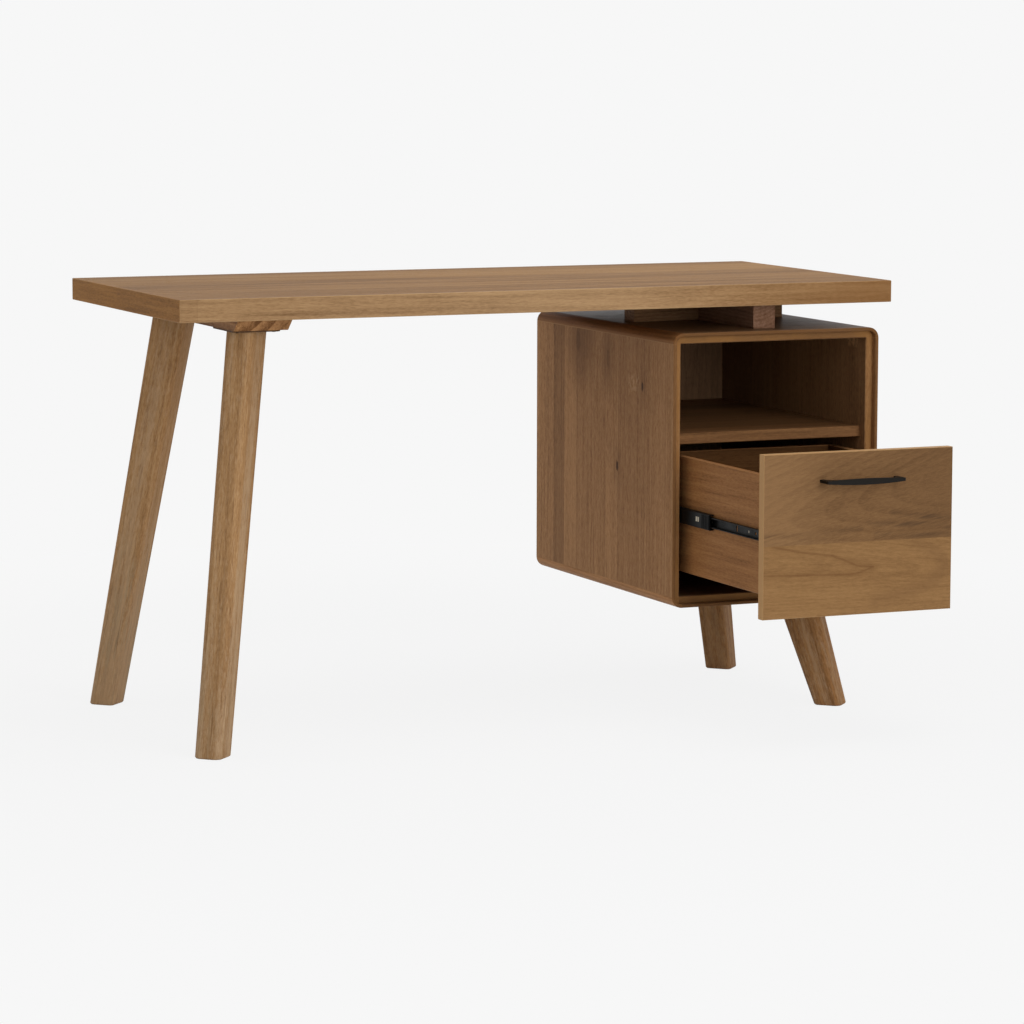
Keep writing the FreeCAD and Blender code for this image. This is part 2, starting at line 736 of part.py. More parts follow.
def slide_flush_screws(x, way):
    """Screws through one member's web, as (screws, cutters for their holes)."""
    screw = (slide_screw_length, slide_screw_radius, slide_screw_head, sheet)
    places = [V(x, y, slide_z) for y in slide_screw_ys]
    screws = [flush_screw(place, way, *screw) for place in places]
    return screws, [flush_hole(place, way, *screw) for place in places]


def ball_cage(u_web, u_edge, u_ball, v_ball, ball_radius, y0):
    """Sheet cage with a row of balls above and below, as (cage, balls)."""
    v1 = v_ball + cage_sheet / 2
    v0 = v1 - cage_sheet
    u1 = u_web + cage_sheet
    section = [(u_web, -v1), (u_edge, -v1), (u_edge, -v0), (u1, -v0),
               (u1, v0), (u_edge, v0), (u_edge, v1), (u_web, v1)]
    cage = slide_prism(section, y0, cage_length)
    pitch = cage_length / balls_per_row
    centres = [V(inner_x0 + u_ball, y0 + pitch * (i + 0.5), slide_z + s * v_ball)
               for i in range(balls_per_row) for s in (-1, 1)]
    window_radius = ball_radius + ball_play
    window = [(0, -cage_sheet), (window_radius, -cage_sheet), (window_radius, cage_sheet), (0, cage_sheet)]
    holes = [turned(window, centre, UP, ball_sides) for centre in centres]
    shoulder = ball_radius * math.sqrt(0.5)
    round_profile = [(0, -ball_radius), (shoulder, -shoulder), (ball_radius, 0),
                     (shoulder, shoulder), (0, ball_radius)]
    balls = [turned(round_profile, centre, UP, ball_sides) for centre in centres]
    return drilled(cage, holes), Part.makeCompound(balls)


def slides():
    middle_y = slide_y + middle_setback
    left = {}

    cabinet_screws, cabinet_holes = slide_flush_screws(inner_x0 + sheet, LEFT)
    outer = slide_prism(channel(0, outer_edge, slide_height, outer_lip), slide_y, slide_length)
    left["slide_cabinet_member"] = (drilled(outer, cabinet_holes), 0)

    middle = slide_prism(channel(middle_web, middle_edge, middle_height, middle_lip), middle_y, middle_length)
    cap_half = middle_height / 2 - bend
    cap_thickness = inner_edge - middle_web - inner_edge_gap / 2
    cap_section = rectangle(middle_web, middle_web + cap_thickness, -cap_half, cap_half)
    cap_front = slide_prism(cap_section, middle_y, cap_length)
    left["slide_middle_member"] = (middle.cut(cap_front), middle_share)
    rib_pitch = cap_length / cap_ribs
    rib_section = rectangle(middle_web - cap_rib_height, middle_web, -cap_half, cap_half)
    rib_y = middle_y + (rib_pitch - cap_rib_width) / 2
    ribs = [slide_prism(rib_section, rib_y + rib_pitch * i, cap_rib_width) for i in range(cap_ribs)]
    left["slide_end_cap"] = (cap_front.fuse(ribs).removeSplitter(), middle_share)

    drawer_screws, drawer_holes = slide_flush_screws(box_x0 - sheet, RIGHT)
    inner = slide_prism(channel(slide_space, inner_edge, inner_height, 0), slide_y, inner_length)
    hole_at = V(box_x0 - sheet, slide_y + hole_from_front, slide_z)
    drawer_holes.append(bore(hole_at, RIGHT, sheet, slide_screw_head))
    slot_y = slide_y + slot_from_front
    drawer_holes.append(box(box_x0 - sheet, box_x0, slot_y - slot_width / 2, slot_y + slot_width / 2,
                            slide_z - slot_height / 2, slide_z + slot_height / 2))
    left["slide_drawer_member"] = (drilled(inner, drawer_holes), 1)

    outer_u = (middle_web + outer_edge - sheet) / 2
    inner_u = (inner_edge + middle_edge - sheet) / 2
    for name, ball, height, u_web, u_edge, u_ball, place, share in (
            ("slide_outer", outer_ball, slide_height, sheet + cage_play,
             outer_edge - outer_cage_edge_gap, outer_u, outer_cage_place, outer_cage_share),
            ("slide_inner", inner_ball, middle_height, middle_web + sheet + cage_play,
             middle_edge - inner_cage_edge_gap, inner_u, inner_cage_place, inner_cage_share)):
        v_ball = height / 2 - sheet - ball_play - ball / 2
        cage, balls = ball_cage(u_web, u_edge, u_ball, v_ball, ball / 2, slide_y + place)
        left[name + "_cage"] = (cage, share)
        left[name + "_balls"] = (balls, share)

    for name, (shape, share) in left.items():
        out = moved(shape, -drawer_open * share)
        parts["left_" + name] = out
        parts["right_" + name] = mirrored(out)
    both = [screw for left_screw in cabinet_screws for screw in (left_screw, mirrored(left_screw))]
    parts["slide_cabinet_screws"] = Part.makeCompound(both)
    both = [screw for left_screw in drawer_screws for screw in (left_screw, mirrored(left_screw))]
    parts["slide_drawer_screws"] = moved(Part.makeCompound(both), -drawer_open)


desktop()
leg_rail()
legs()
cabinet()
drawer()
slides()

# The origin is on the floor, under the middle of the whole desk with its drawer open
whole = Part.makeCompound(list(parts.values())).optimalBoundingBox(False, False)
to_origin = V(-(whole.XMin + whole.XMax) / 2, -(whole.YMin + whole.YMax) / 2, -whole.ZMin)

os.makedirs("parts", exist_ok=True)
for node, shape in parts.items():
    placed = shape.copy()
    placed.translate(to_origin)
    placed.exportStep("parts/" + node + ".step")
print(len(parts), "nodes, origin moved by", to_origin)
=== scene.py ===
import json
import math

import bmesh
import bpy
from mathutils import Matrix, Vector

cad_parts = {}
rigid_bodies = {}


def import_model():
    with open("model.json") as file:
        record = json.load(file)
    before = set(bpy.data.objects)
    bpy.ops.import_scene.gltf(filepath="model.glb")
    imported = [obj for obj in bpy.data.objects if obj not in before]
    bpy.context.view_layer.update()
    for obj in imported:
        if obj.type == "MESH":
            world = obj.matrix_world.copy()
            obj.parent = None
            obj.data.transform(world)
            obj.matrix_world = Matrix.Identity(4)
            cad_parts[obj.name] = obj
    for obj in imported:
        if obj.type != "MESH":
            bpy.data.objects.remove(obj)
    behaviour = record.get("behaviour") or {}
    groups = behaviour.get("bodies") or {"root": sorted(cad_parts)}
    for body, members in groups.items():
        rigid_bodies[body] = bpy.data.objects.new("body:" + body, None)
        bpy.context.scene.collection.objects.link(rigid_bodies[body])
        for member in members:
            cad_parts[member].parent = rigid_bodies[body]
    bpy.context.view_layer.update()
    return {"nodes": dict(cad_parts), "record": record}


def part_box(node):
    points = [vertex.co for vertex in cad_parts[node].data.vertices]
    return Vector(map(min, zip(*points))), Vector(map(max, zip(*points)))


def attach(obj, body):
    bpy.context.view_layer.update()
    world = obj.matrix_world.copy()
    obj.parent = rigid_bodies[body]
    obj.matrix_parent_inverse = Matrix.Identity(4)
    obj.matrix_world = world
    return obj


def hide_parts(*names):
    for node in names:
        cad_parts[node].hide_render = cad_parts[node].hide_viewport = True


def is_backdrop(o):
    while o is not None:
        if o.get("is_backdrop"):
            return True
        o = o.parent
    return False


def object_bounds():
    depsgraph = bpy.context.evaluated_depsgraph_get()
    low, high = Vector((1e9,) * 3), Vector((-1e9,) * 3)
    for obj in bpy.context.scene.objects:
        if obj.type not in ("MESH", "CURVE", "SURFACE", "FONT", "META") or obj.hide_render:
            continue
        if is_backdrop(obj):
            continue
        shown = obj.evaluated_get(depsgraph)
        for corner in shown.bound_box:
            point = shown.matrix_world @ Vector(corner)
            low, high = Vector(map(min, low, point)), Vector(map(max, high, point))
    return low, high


for leftover in list(bpy.data.objects):
    bpy.data.objects.remove(leftover)
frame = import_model()
nodes = frame["nodes"]
body_of = {node: body for body, members in frame["record"]["behaviour"]["bodies"].items() for node in members}

# Places on the desk, in metres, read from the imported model

core_low, core_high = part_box("desktop_core")
desk_y = (core_low.y + core_high.y) / 2
top_middle = (0.0, desk_y, core_high.z)
side_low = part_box("cabinet_left_side")[0]
right_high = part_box("cabinet_right_side")[1]
cabinet_middle = (side_low.x + right_high.x) / 2
cabinet_front = side_low.y
cabinet_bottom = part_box("cabinet_bottom_panel")[0].z
cabinet_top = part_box("cabinet_top_panel")[1].z
inner_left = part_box("cabinet_bottom_left_post")[1].x
inner_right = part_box("cabinet_bottom_right_post")[0].x
inner_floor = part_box("cabinet_bottom_panel")[1].z
inner_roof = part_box("cabinet_top_panel")[0].z
post_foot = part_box("cabinet_top_left_post")[0].z
front_low, front_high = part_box("drawer_front_lower_board")
upper_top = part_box("drawer_front_upper_board")[1].z
box_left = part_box("drawer_left_side")[1].x
box_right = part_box("drawer_right_side")[0].x
box_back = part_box("drawer_back")[0].y
box_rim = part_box("drawer_left_side")[1].z

# The cabinet's turned-in lip, how far a stain reaches past its faces, and a distance outside the desk

lip_depth = 0.012
lip_width = 0.006
recess = cabinet_front + lip_depth
past = 0.0006
outside = 1.0

# Ways that grain, faces and screw heads point

rightward, leftward = (1, 0, 0), (-1, 0, 0)
backward, frontward = (0, 1, 0), (0, -1, 0)
upward, downward = (0, 0, 1), (0, 0, -1)


def linear(red, green, blue):
    """A colour given as 0 to 255 screen values, as Blender's linear values."""
    def channel(value):
        value = value / 255
        return value / 12.92 if value <= 0.04045 else ((value + 0.055) / 1.055) ** 2.4
    return (channel(red), channel(green), channel(blue), 1.0)


class Nodes:
    """Short calls for adding and joining nodes in one tree. An input takes a value or another output."""

    def __init__(self, tree):
        self.tree = tree

    def feed(self, socket, value):
        if isinstance(value, bpy.types.NodeSocket):
            self.tree.links.new(value, socket)
        elif value is not None:
            socket.default_value = value

    def add(self, kind, **settings):
        node = self.tree.nodes.new(kind)
        for key, value in settings.items():
            setattr(node, key, value)
        return node

    def maths(self, operation, *values, clamp=False):
        node = self.add("ShaderNodeMath", operation=operation, use_clamp=clamp)
        for socket, value in zip(node.inputs, values):
            self.feed(socket, value)
        return node.outputs[0]

    def times(self, first, second):
        return self.maths("MULTIPLY", first, second)

    def vector(self, operation, *values, scale=None):
        node = self.add("ShaderNodeVectorMath", operation=operation)
        for socket, value in zip(node.inputs, values):
            self.feed(socket, value)
        if operation == "SCALE":
            self.feed(node.inputs["Scale"], scale)
        return node.outputs["Value" if operation in ("LENGTH", "DISTANCE", "DOT_PRODUCT") else "Vector"]

    def split(self, vector):
        node = self.add("ShaderNodeSeparateXYZ")
        self.feed(node.inputs[0], vector)
        return node.outputs

    def noise(self, vector, stretch, detail=2.0, roughness=0.5, shift=None, colour=False):
        """Noise of about one cell for each unit, in a space that is moved by shift and then stretched."""
        if shift:
            vector = self.vector("ADD", vector, shift)
        if isinstance(stretch, float):
            stretch = (stretch, stretch, stretch)
        node = self.add("ShaderNodeTexNoise")
        self.feed(node.inputs["Vector"], self.vector("MULTIPLY", vector, stretch))
        node.inputs["Scale"].default_value = 1.0
        node.inputs["Detail"].default_value = detail
        node.inputs["Roughness"].default_value = roughness
        return node.outputs[1 if colour else 0]

    def span(self, value, low, high, to_low=0.0, to_high=1.0):
        """Smooth step of value between low and high, from to_low up or down to to_high."""
        node = self.add("ShaderNodeMapRange", interpolation_type="SMOOTHSTEP")
        for socket, given in zip(node.inputs, (value, low, high, to_low, to_high)):
            self.feed(socket, given)
        return node.outputs[0]

    def mix(self, share, first, second, blend="MIX"):
        node = self.add("ShaderNodeMix", data_type="RGBA", blend_type=blend)
        self.feed(node.inputs[0], share)
        self.feed(node.inputs[6], first)
        self.feed(node.inputs[7], second)
        return node.outputs[2]

    def tint(self, colour, toward, mask, strength=None):
        """A colour moved toward a screen colour where the mask is 1, as far as the strength says."""
        share = mask if strength is None else self.times(mask, strength)
        return self.mix(share, colour, linear(*toward))

    def place(self, group, **values):
        node = self.add("ShaderNodeGroup", node_tree=group)
        for name, value in values.items():
            self.feed(node.inputs[name.replace("_", " ")], value)
        return node.outputs


def shader_group(name, inputs, outputs):
    """New shader node group, as (group, nodes, its given inputs, its output sockets)."""
    group = bpy.data.node_groups.new(name, "ShaderNodeTree")
    kinds = {"v": "NodeSocketVector", "c": "NodeSocketColor", "f": "NodeSocketFloat"}
    for label, kind, value in inputs:
        socket = group.interface.new_socket(label, in_out="INPUT", socket_type=kinds[kind])
        if value is not None:
            socket.default_value = value
    for label, kind in outputs:
        group.interface.new_socket(label, in_out="OUTPUT", socket_type=kinds[kind])
    given = group.nodes.new("NodeGroupInput").outputs
    return group, Nodes(group), given, group.nodes.new("NodeGroupOutput").inputs


def build_timber_grain():
    """Wood in grain space: X along the grain, Y across the board, Z out of its face, in metres."""
    group, n, given, out = shader_group(
        "timber_grain",
        [("Vector", "v", None), ("Seed", "f", 0.0), ("Pale", "c", None), ("Body", "c", None),
         ("Deep", "c", None), ("Ring Spacing", "f", 0.008), ("Ring Tilt", "f", 0.03), ("Pith Side", "f", 0.0),
         ("Pith Depth", "f", -0.08), ("Wander", "f", 0.02), ("Rings", "f", 0.1), ("Streaks", "f", 0.38),
         ("Flecks", "f", 0.3), ("Fibres", "f", 0.45), ("Pores", "f", 0.4), ("Clouds", "f", 0.25),
         ("Tone", "f", 0.0)],
        [("Color", "c"), ("Roughness", "f"), ("Height", "f")])
    moved = n.vector("MULTIPLY_ADD", given["Seed"], (3.1, 1.7, 2.3), given["Vector"])

    warp = n.noise(moved, (1.1, 7.0, 7.0), colour=True)
    warp = n.vector("SCALE", n.vector("SUBTRACT", warp, (0.5, 0.5, 0.5)), scale=given["Wander"])
    x, y, z = n.split(n.vector("ADD", given["Vector"], warp))[:3]
    side = n.maths("SUBTRACT", y, given["Pith Side"])
    depth = n.maths("SUBTRACT", z, given["Pith Depth"])
    radius = n.maths("SQRT", n.maths("ADD", n.times(side, side), n.times(depth, depth)))
    radius = n.maths("MULTIPLY_ADD", x, given["Ring Tilt"], radius)
    turns = n.maths("DIVIDE", radius, given["Ring Spacing"])
    phase = n.maths("FRACT", turns)
    dice = n.add("ShaderNodeTexWhiteNoise", noise_dimensions="1D")
    n.feed(dice.inputs["W"], n.maths("FLOOR", turns))
    late = n.times(n.span(phase, 0.1, 0.86), n.span(phase, 0.88, 1.0, 1.0, 0.0))
    rings = n.times(late, n.maths("MULTIPLY_ADD", dice.outputs[0], 0.7, 0.3))

    streaks = n.noise(moved, (1.7, 70.0, 70.0), detail=5.0, roughness=0.65)
    flecks = n.noise(moved, (9.0, 190.0, 190.0), roughness=0.55)
    fibres = n.noise(moved, (95.0, 480.0, 480.0), detail=3.0, roughness=0.7)
    dashes = n.noise(moved, (55.0, 1300.0, 1300.0), detail=1.0)
    pores = n.span(dashes, 0.60, 0.72)
    clouds = n.noise(moved, (1.4, 4.5, 4.5))

    tone = n.maths("ADD", 0.5, given["Tone"])
    for layer, strength in ((streaks, "Streaks"), (flecks, "Flecks"), (fibres, "Fibres"), (clouds, "Clouds")):
        swing = n.times(n.maths("SUBTRACT", layer, 0.5), 2.0)
        tone = n.maths("MULTIPLY_ADD", swing, given[strength], tone)
    tone = n.maths("SUBTRACT", tone, n.times(rings, given["Rings"]))
    dark_half = n.mix(n.maths("MULTIPLY", tone, 2.0, clamp=True), given["Deep"], given["Body"])
    pale_share = n.maths("SUBTRACT", n.times(tone, 2.0), 1.0, clamp=True)
    colour = n.mix(pale_share, dark_half, given["Pale"])
    n.feed(out["Color"], n.mix(n.times(pores, given["Pores"]), colour, given["Deep"]))

    rough = n.maths("MULTIPLY_ADD", streaks, -0.10, 0.50)
    n.feed(out["Roughness"], n.maths("MULTIPLY_ADD", pores, 0.12, rough))
    height = n.maths("MULTIPLY_ADD", fibres, 0.5, n.times(streaks, 0.5))
    n.feed(out["Height"], n.maths("SUBTRACT", height, n.times(pores, 0.6)))
    return group


def build_glued_boards():
    """Tone of boards of uneven width glued side by side along Y, and the fine line of each joint."""
    group, n, given, out = shader_group(
        "glued_boards",
        [("Vector", "v", None), ("Width", "f", 0.09), ("Seed", "f", 0.0), ("Joint Width", "f", 0.0006)],
        [("Tone", "f"), ("Joint", "f")])
    across = n.maths("ADD", n.maths("DIVIDE", n.split(given["Vector"])[1], given["Width"]), given["Seed"])
    found = []
    for feature in ("F1", "DISTANCE_TO_EDGE"):
        cell = n.add("ShaderNodeTexVoronoi", voronoi_dimensions="1D", feature=feature)
        n.feed(cell.inputs["W"], across)
        cell.inputs["Scale"].default_value = 1.0
        found.append(cell.outputs)
    board, edge = found
    n.feed(out["Tone"], n.maths("MULTIPLY_ADD", n.split(board["Color"])[0], 2.0, -1.0))
    gap = n.times(edge["Distance"], given["Width"])
    n.feed(out["Joint"], n.span(gap, 0.0, given["Joint Width"], 1.0, 0.0))
    return group


def build_knot():
    """A knot at the middle of the space it is given: its dark eye and the shade round it."""
    group, n, given, out = shader_group(
        "knot", [("Vector", "v", None), ("Size", "f", 0.006), ("Reach", "f", 4.0)],
        [("Eye", "f"), ("Shade", "f")])
    x, y = n.split(given["Vector"])[:2]
    flat = n.maths("SQRT", n.maths("ADD", n.times(n.times(x, x), 0.22), n.times(y, y)))
    ragged = n.noise(given["Vector"], (160.0, 420.0, 420.0))
    flat = n.times(flat, n.maths("MULTIPLY_ADD", ragged, 0.9, 0.55))
    near = n.maths("DIVIDE", flat, given["Size"])
    n.feed(out["Eye"], n.span(near, 0.55, 1.0, 1.0, 0.0))
    n.feed(out["Shade"], n.span(near, 0.8, given["Reach"], 1.0, 0.0))
    return group


def build_eased_edge():
    """Mask of the rounded edges, broken up by noise: where handling has rubbed the finish, and on wood also
    where a painted highlight runs along them.
    """
    group, n, given, out = shader_group(
        "eased_edge", [("Vector", "v", None), ("Breaks", "f", 90.0)], [("Mask", "f")])
    normal = n.add("ShaderNodeNewGeometry").outputs["Normal"]
    x, y, z = n.split(n.vector("ABSOLUTE", normal))[:3]
    flat = n.maths("MAXIMUM", n.maths("MAXIMUM", x, y), z)
    turn = n.span(flat, 0.88, 0.995, 1.0, 0.0)
    patch = n.noise(given["Vector"], given["Breaks"], detail=3.0)
    n.feed(out["Mask"], n.times(turn, n.span(patch, 0.25, 0.7, 0.45, 1.0)))
    return group


def build_within():
    """1 inside a box given by its low and high corners, 0 outside, with a soft border."""
    group, n, given, out = shader_group(
        "within", [("Vector", "v", None), ("Low", "v", None), ("High", "v", None), ("Border", "f", 0.0005)],
        [("Mask", "f")])
    mask = None
    for part in [*n.split(n.vector("SUBTRACT", given["Vector"], given["Low"]))[:3],
                 *n.split(n.vector("SUBTRACT", given["High"], given["Vector"]))[:3]]:
        inside = n.span(part, n.times(given["Border"], -1.0), given["Border"])
        mask = inside if mask is None else n.times(mask, inside)
    n.feed(out["Mask"], mask)
    return group


def build_line_piece():
    """How far a place is from one straight piece of a line on the drawer front, ignoring depth."""
    group, n, given, out = shader_group(
        "line_piece", [("Vector", "v", None), ("From", "v", None), ("To", "v", None)], [("Distance", "f")])
    flat = (1.0, 0.0, 1.0)
    away = n.vector("MULTIPLY", n.vector("SUBTRACT", given["Vector"], given["From"]), flat)
    run = n.vector("MULTIPLY", n.vector("SUBTRACT", given["To"], given["From"]), flat)
    beside = n.vector("DOT_PRODUCT", away, run)
    share = n.maths("DIVIDE", beside, n.vector("DOT_PRODUCT", run, run), clamp=True)
    missed = n.vector("SUBTRACT", away, n.vector("SCALE", run, scale=share))
    n.feed(out["Distance"], n.vector("LENGTH", missed))
    return group


line_piece = build_line_piece()
timber_grain = build_timber_grain()
glued_boards = build_glued_boards()
knot = build_knot()
eased_edge = build_eased_edge()
within = build_within()


def object_place(n):
    """A place on the part, in its own metres."""
    return n.add("ShaderNodeTexCoord").outputs["Object"]


def place_along(n, axis):
    """One coordinate of a place on the part: X to the right, Y to the back or Z up."""
    return n.split(object_place(n))[axis]


def box_mask(n, low, high, border=0.0005):
    """Mask of a box on the part, from its low and high corners."""
    return n.place(within, Vector=object_place(n), Low=low, High=high, Border=border)["Mask"]


def grain_space(n, along, face, origin):
    """Object coordinates turned so that X runs along the grain and Z out of the face."""
    along = Vector(along).normalized()
    face = Vector(face)
    face = (face - along * face.dot(along)).normalized()
    turn = Matrix((along, face.cross(along), face))
    mapping = n.add("ShaderNodeMapping", vector_type="POINT")
    n.feed(mapping.inputs["Vector"], object_place(n))
    mapping.inputs["Rotation"].default_value = turn.to_euler("XYZ")
    mapping.inputs["Location"].default_value = -(turn @ Vector(origin))
    return mapping.outputs[0]


def finish_material(name, specular):
    """New material, as (material, nodes, its shader)."""
    material = bpy.data.materials.new(name)
    material.use_nodes = True
    shader = material.node_tree.nodes["Principled BSDF"]
    shader.inputs["Specular IOR Level"].default_value = specular
    return material, Nodes(material.node_tree), shader


def add_bump(n, shader, height, strength, distance):
    bump = n.add("ShaderNodeBump")
    bump.inputs["Strength"].default_value = strength
    bump.inputs["Distance"].default_value = distance
    n.feed(bump.inputs["Height"], height)
    n.feed(shader.inputs["Normal"], bump.outputs[0])


def wood(name, along, face, origin, tones, edge=None, edge_share=0.5, specular=0.03, board=None,
         board_tone=0.15, touch=None, polish=0.0, **grain):
    """Wood finish of one kind of piece, from its pale, body and deep tones.

    board is the width of glued boards, touch may change the colour, edge is the colour of rounded edges,
    rubbed paler and painted as a highlight, and polish puts a gloss coat on upward faces.
    """
    material, n, shader = finish_material(name, specular)
    space = grain_space(n, along, face, origin)
    pale, body, deep = (linear(*tone) for tone in tones)
    tone = None
    if board:
        boards = n.place(glued_boards, Vector=space, Width=board, Seed=grain["Seed"])
        tone = n.times(boards["Tone"], board_tone)
    made = n.place(timber_grain, Vector=space, Pale=pale, Body=body, Deep=deep, Tone=tone, **grain)
    colour = made["Color"]
    if board:
        colour = n.mix(n.times(boards["Joint"], 0.35), colour, deep)
    if touch:
        colour = touch(n, colour, space)
    # Paler rounded edges: rubbed finish, and a painted highlight along them
    if edge:
        edge_mask = n.place(eased_edge, Vector=object_place(n))["Mask"]
        colour = n.tint(colour, edge, edge_mask, edge_share)
    n.feed(shader.inputs["Base Color"], colour)
    n.feed(shader.inputs["Roughness"], made["Roughness"])
    if polish:
        facing_up = n.split(n.add("ShaderNodeNewGeometry").outputs["Normal"])[2]
        open_grain = n.span(n.noise(space, (30.0, 420.0, 420.0), detail=3.0), 0.32, 0.68, 0.25, 1.7)
        n.feed(shader.inputs["Coat Weight"], n.times(n.span(facing_up, 0.9, 0.98, 0.0, polish), open_grain))
        shader.inputs["Coat Roughness"].default_value = 0.35
    add_bump(n, shader, made["Height"], strength=0.25, distance=0.0004)
    return material


def dress(material, *names):
    for name in names:
        for slot in nodes[name].material_slots:
            slot.material = material


# Desktop and its lipping

front_splice = -0.629
left_splice = desk_y + 0.038
desktop_tones = ((170, 129, 78), (145, 106, 61), (102, 70, 37))
band_tones = ((178, 143, 102), (154, 120, 83), (110, 78, 48))
left_band_tones = ((165, 119, 61), (143, 98, 46), (100, 65, 28))
right_band_tones = ((176, 130, 82), (152, 108, 66), (104, 70, 38))
# Rounded edges of the edge bands: rubbed paler, and a painted highlight
band_edge_wear_and_highlight = (186, 152, 112)
pale_drift = (190, 160, 124)
band_grain = dict(Ring_Spacing=0.005, Ring_Tilt=0.004, Rings=0.1, Streaks=0.55, Flecks=0.35, Fibres=0.45,
                  Pores=0.6)


def desktop_touch(n, colour, space):
    """The left half of the top is a little darker."""
    at = place_along(n, "X")
    return n.tint(colour, (92, 62, 34), n.span(at, -0.62, 0.1, 0.24, 0.0))


def splice(place, axis):
    """A fine joint where two lengths of edge band meet, and the first length's own tone."""
    def touch(n, colour, space):
        at = place_along(n, axis)
        line = n.span(n.maths("ABSOLUTE", n.maths("SUBTRACT", at, place)), 0.0003, 0.0010, 1.0, 0.0)
        before = n.span(at, place - 0.0004, place + 0.0004, 0.10, 0.0)
        colour = n.tint(colour, (104, 72, 46), before)
        return n.tint(colour, (92, 62, 38), line, 0.12)
    return touch


def front_band_touch(n, colour, space):
    """The front band drifts from pale in the middle to a redder brown at the right."""
    at = place_along(n, "X")
    colour = n.tint(colour, (122, 83, 45), n.span(at, 0.25, 0.66, 0.0, 0.68))
    middle = n.times(n.span(at, -0.6, 0.0), n.span(at, 0.05, 0.4, 0.22, 0.0))
    colour = n.tint(colour, pale_drift, middle)
    colour = n.tint(colour, pale_drift, n.span(at, -0.45, -0.2, 0.07, 0.0))
    return splice(front_splice, "X")(n, colour, space)


dress(wood("desktop_veneer", rightward, upward, top_middle, desktop_tones, board=0.10, board_tone=0.16,
           specular=0.02, touch=desktop_touch, Seed=1.3, Ring_Spacing=0.011, Ring_Tilt=0.02, Pith_Depth=-0.12,
           Pith_Side=0.05, Rings=0.08, Streaks=0.75), "desktop_core")
for side, along, face, tones, touch, own_grain in (
        ("front", rightward, frontward, band_tones, front_band_touch, dict(Seed=2.1, Pith_Depth=-0.2)),
        ("back", rightward, backward, band_tones, None, dict(Seed=5.4, Pith_Depth=-0.2)),
        ("left", backward, leftward, left_band_tones, splice(left_splice, "Y"),
         dict(Seed=3.6, Pith_Depth=-0.3, Streaks=0.4)),
        ("right", backward, rightward, right_band_tones, None, dict(Seed=7.7, Pith_Depth=-0.3))):
    dress(wood(side + "_edge_band", along, face, top_middle, tones, edge=band_edge_wear_and_highlight, touch=touch,
               **dict(band_grain, **own_grain)), "desktop_" + side + "_lipping")

# Legs, each with its grain along its own splay

left_leg_tones = ((184, 147, 105), (158, 120, 80), (110, 76, 45))
# The right legs' darker, redder tones are painted shade from the cabinet above them
right_leg_shaded_tones = ((170, 126, 80), (143, 101, 61), (96, 62, 34))
leg_grain = dict(Ring_Spacing=0.007, Ring_Tilt=0.012, Pith_Side=0.012, Pith_Depth=-0.06, Wander=0.012,
                 Rings=0.08, Flecks=0.25, Fibres=0.6)
end_slack = 1e-4


def dry_patches(low_share, share, foot_shade):
    """Long pale stripes where the stain took badly, greyer and thicker toward the foot, and short marks."""
    def touch(n, colour, space):
        height = place_along(n, "Z")
        colour = n.tint(colour, (112, 84, 56), n.span(height, 0.0, 0.35, foot_shade, 0.0))
        low_down = n.span(height, 0.0, 0.4, low_share, 0.0)
        stripe = n.noise(space, (1.6, 62.0, 62.0), detail=3.0, shift=(0.2, 0.9, 0.4))
        speck = n.noise(space, (55.0, 210.0, 210.0), detail=6.0, roughness=0.85)
        dry = n.maths("ADD", n.maths("MULTIPLY_ADD", speck, 0.9, -0.45), n.maths("ADD", stripe, low_down))
        colour = n.tint(colour, (184, 157, 126), n.span(dry, 0.42, 0.72, 0.0, share))
        torn = n.noise(space, (7.0, 95.0, 95.0), detail=5.0, roughness=0.7, shift=(0.5, 0.1, 0.8))
        grey = n.times(n.span(torn, 0.5, 0.6), n.span(low_down, 0.0, 0.1))
        colour = n.tint(colour, (150, 130, 102), grey, 0.55)
        mark = n.noise(space, (14.0, 230.0, 230.0), shift=(0.7, 0.3, 0.1))
        colour = n.tint(colour, (88, 58, 34), n.span(mark, 0.58, 0.74, 0.0, 0.38))
        fleck = n.noise(space, (48.0, 380.0, 380.0), detail=3.0, shift=(0.3, 0.6, 0.9))
        return n.tint(colour, (200, 172, 138), n.span(fleck, 0.54, 0.66, 0.0, 0.35 * share))
    return touch


def middle_at(points, level):
    """Middle of the points that lie at one height."""
    there = [point for point in points if abs(point.z - level) < end_slack]
    return sum(there, Vector()) / len(there)


for number, (name, low_share, dry_share, foot_shade) in enumerate((
        ("front_left_leg", 0.06, 0.62, 0.36), ("back_left_leg", 0.2, 0.42, 0.0),
        ("front_right_leg", 0.02, 0.4, 0.0), ("back_right_leg", 0.02, 0.2, 0.0))):
    low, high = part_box(name)
    points = [vertex.co for vertex in nodes[name].data.vertices]
    foot = middle_at(points, low.z)
    head = middle_at(points, high.z)
    outward = Vector((foot.x - head.x, foot.y - head.y, 0))
    # Right legs take darker tones as painted shade
    tones, streaks = (left_leg_tones, 0.5) if "left" in name else (right_leg_shaded_tones, 0.65)
    dress(wood(name + "_wood", head - foot, outward, foot, tones, edge=(176, 142, 102), edge_share=0.1,
               touch=dry_patches(low_share, dry_share, foot_shade), Seed=4.0 + 1.9 * number, Streaks=streaks,
               **leg_grain), name)

# Rail and battens

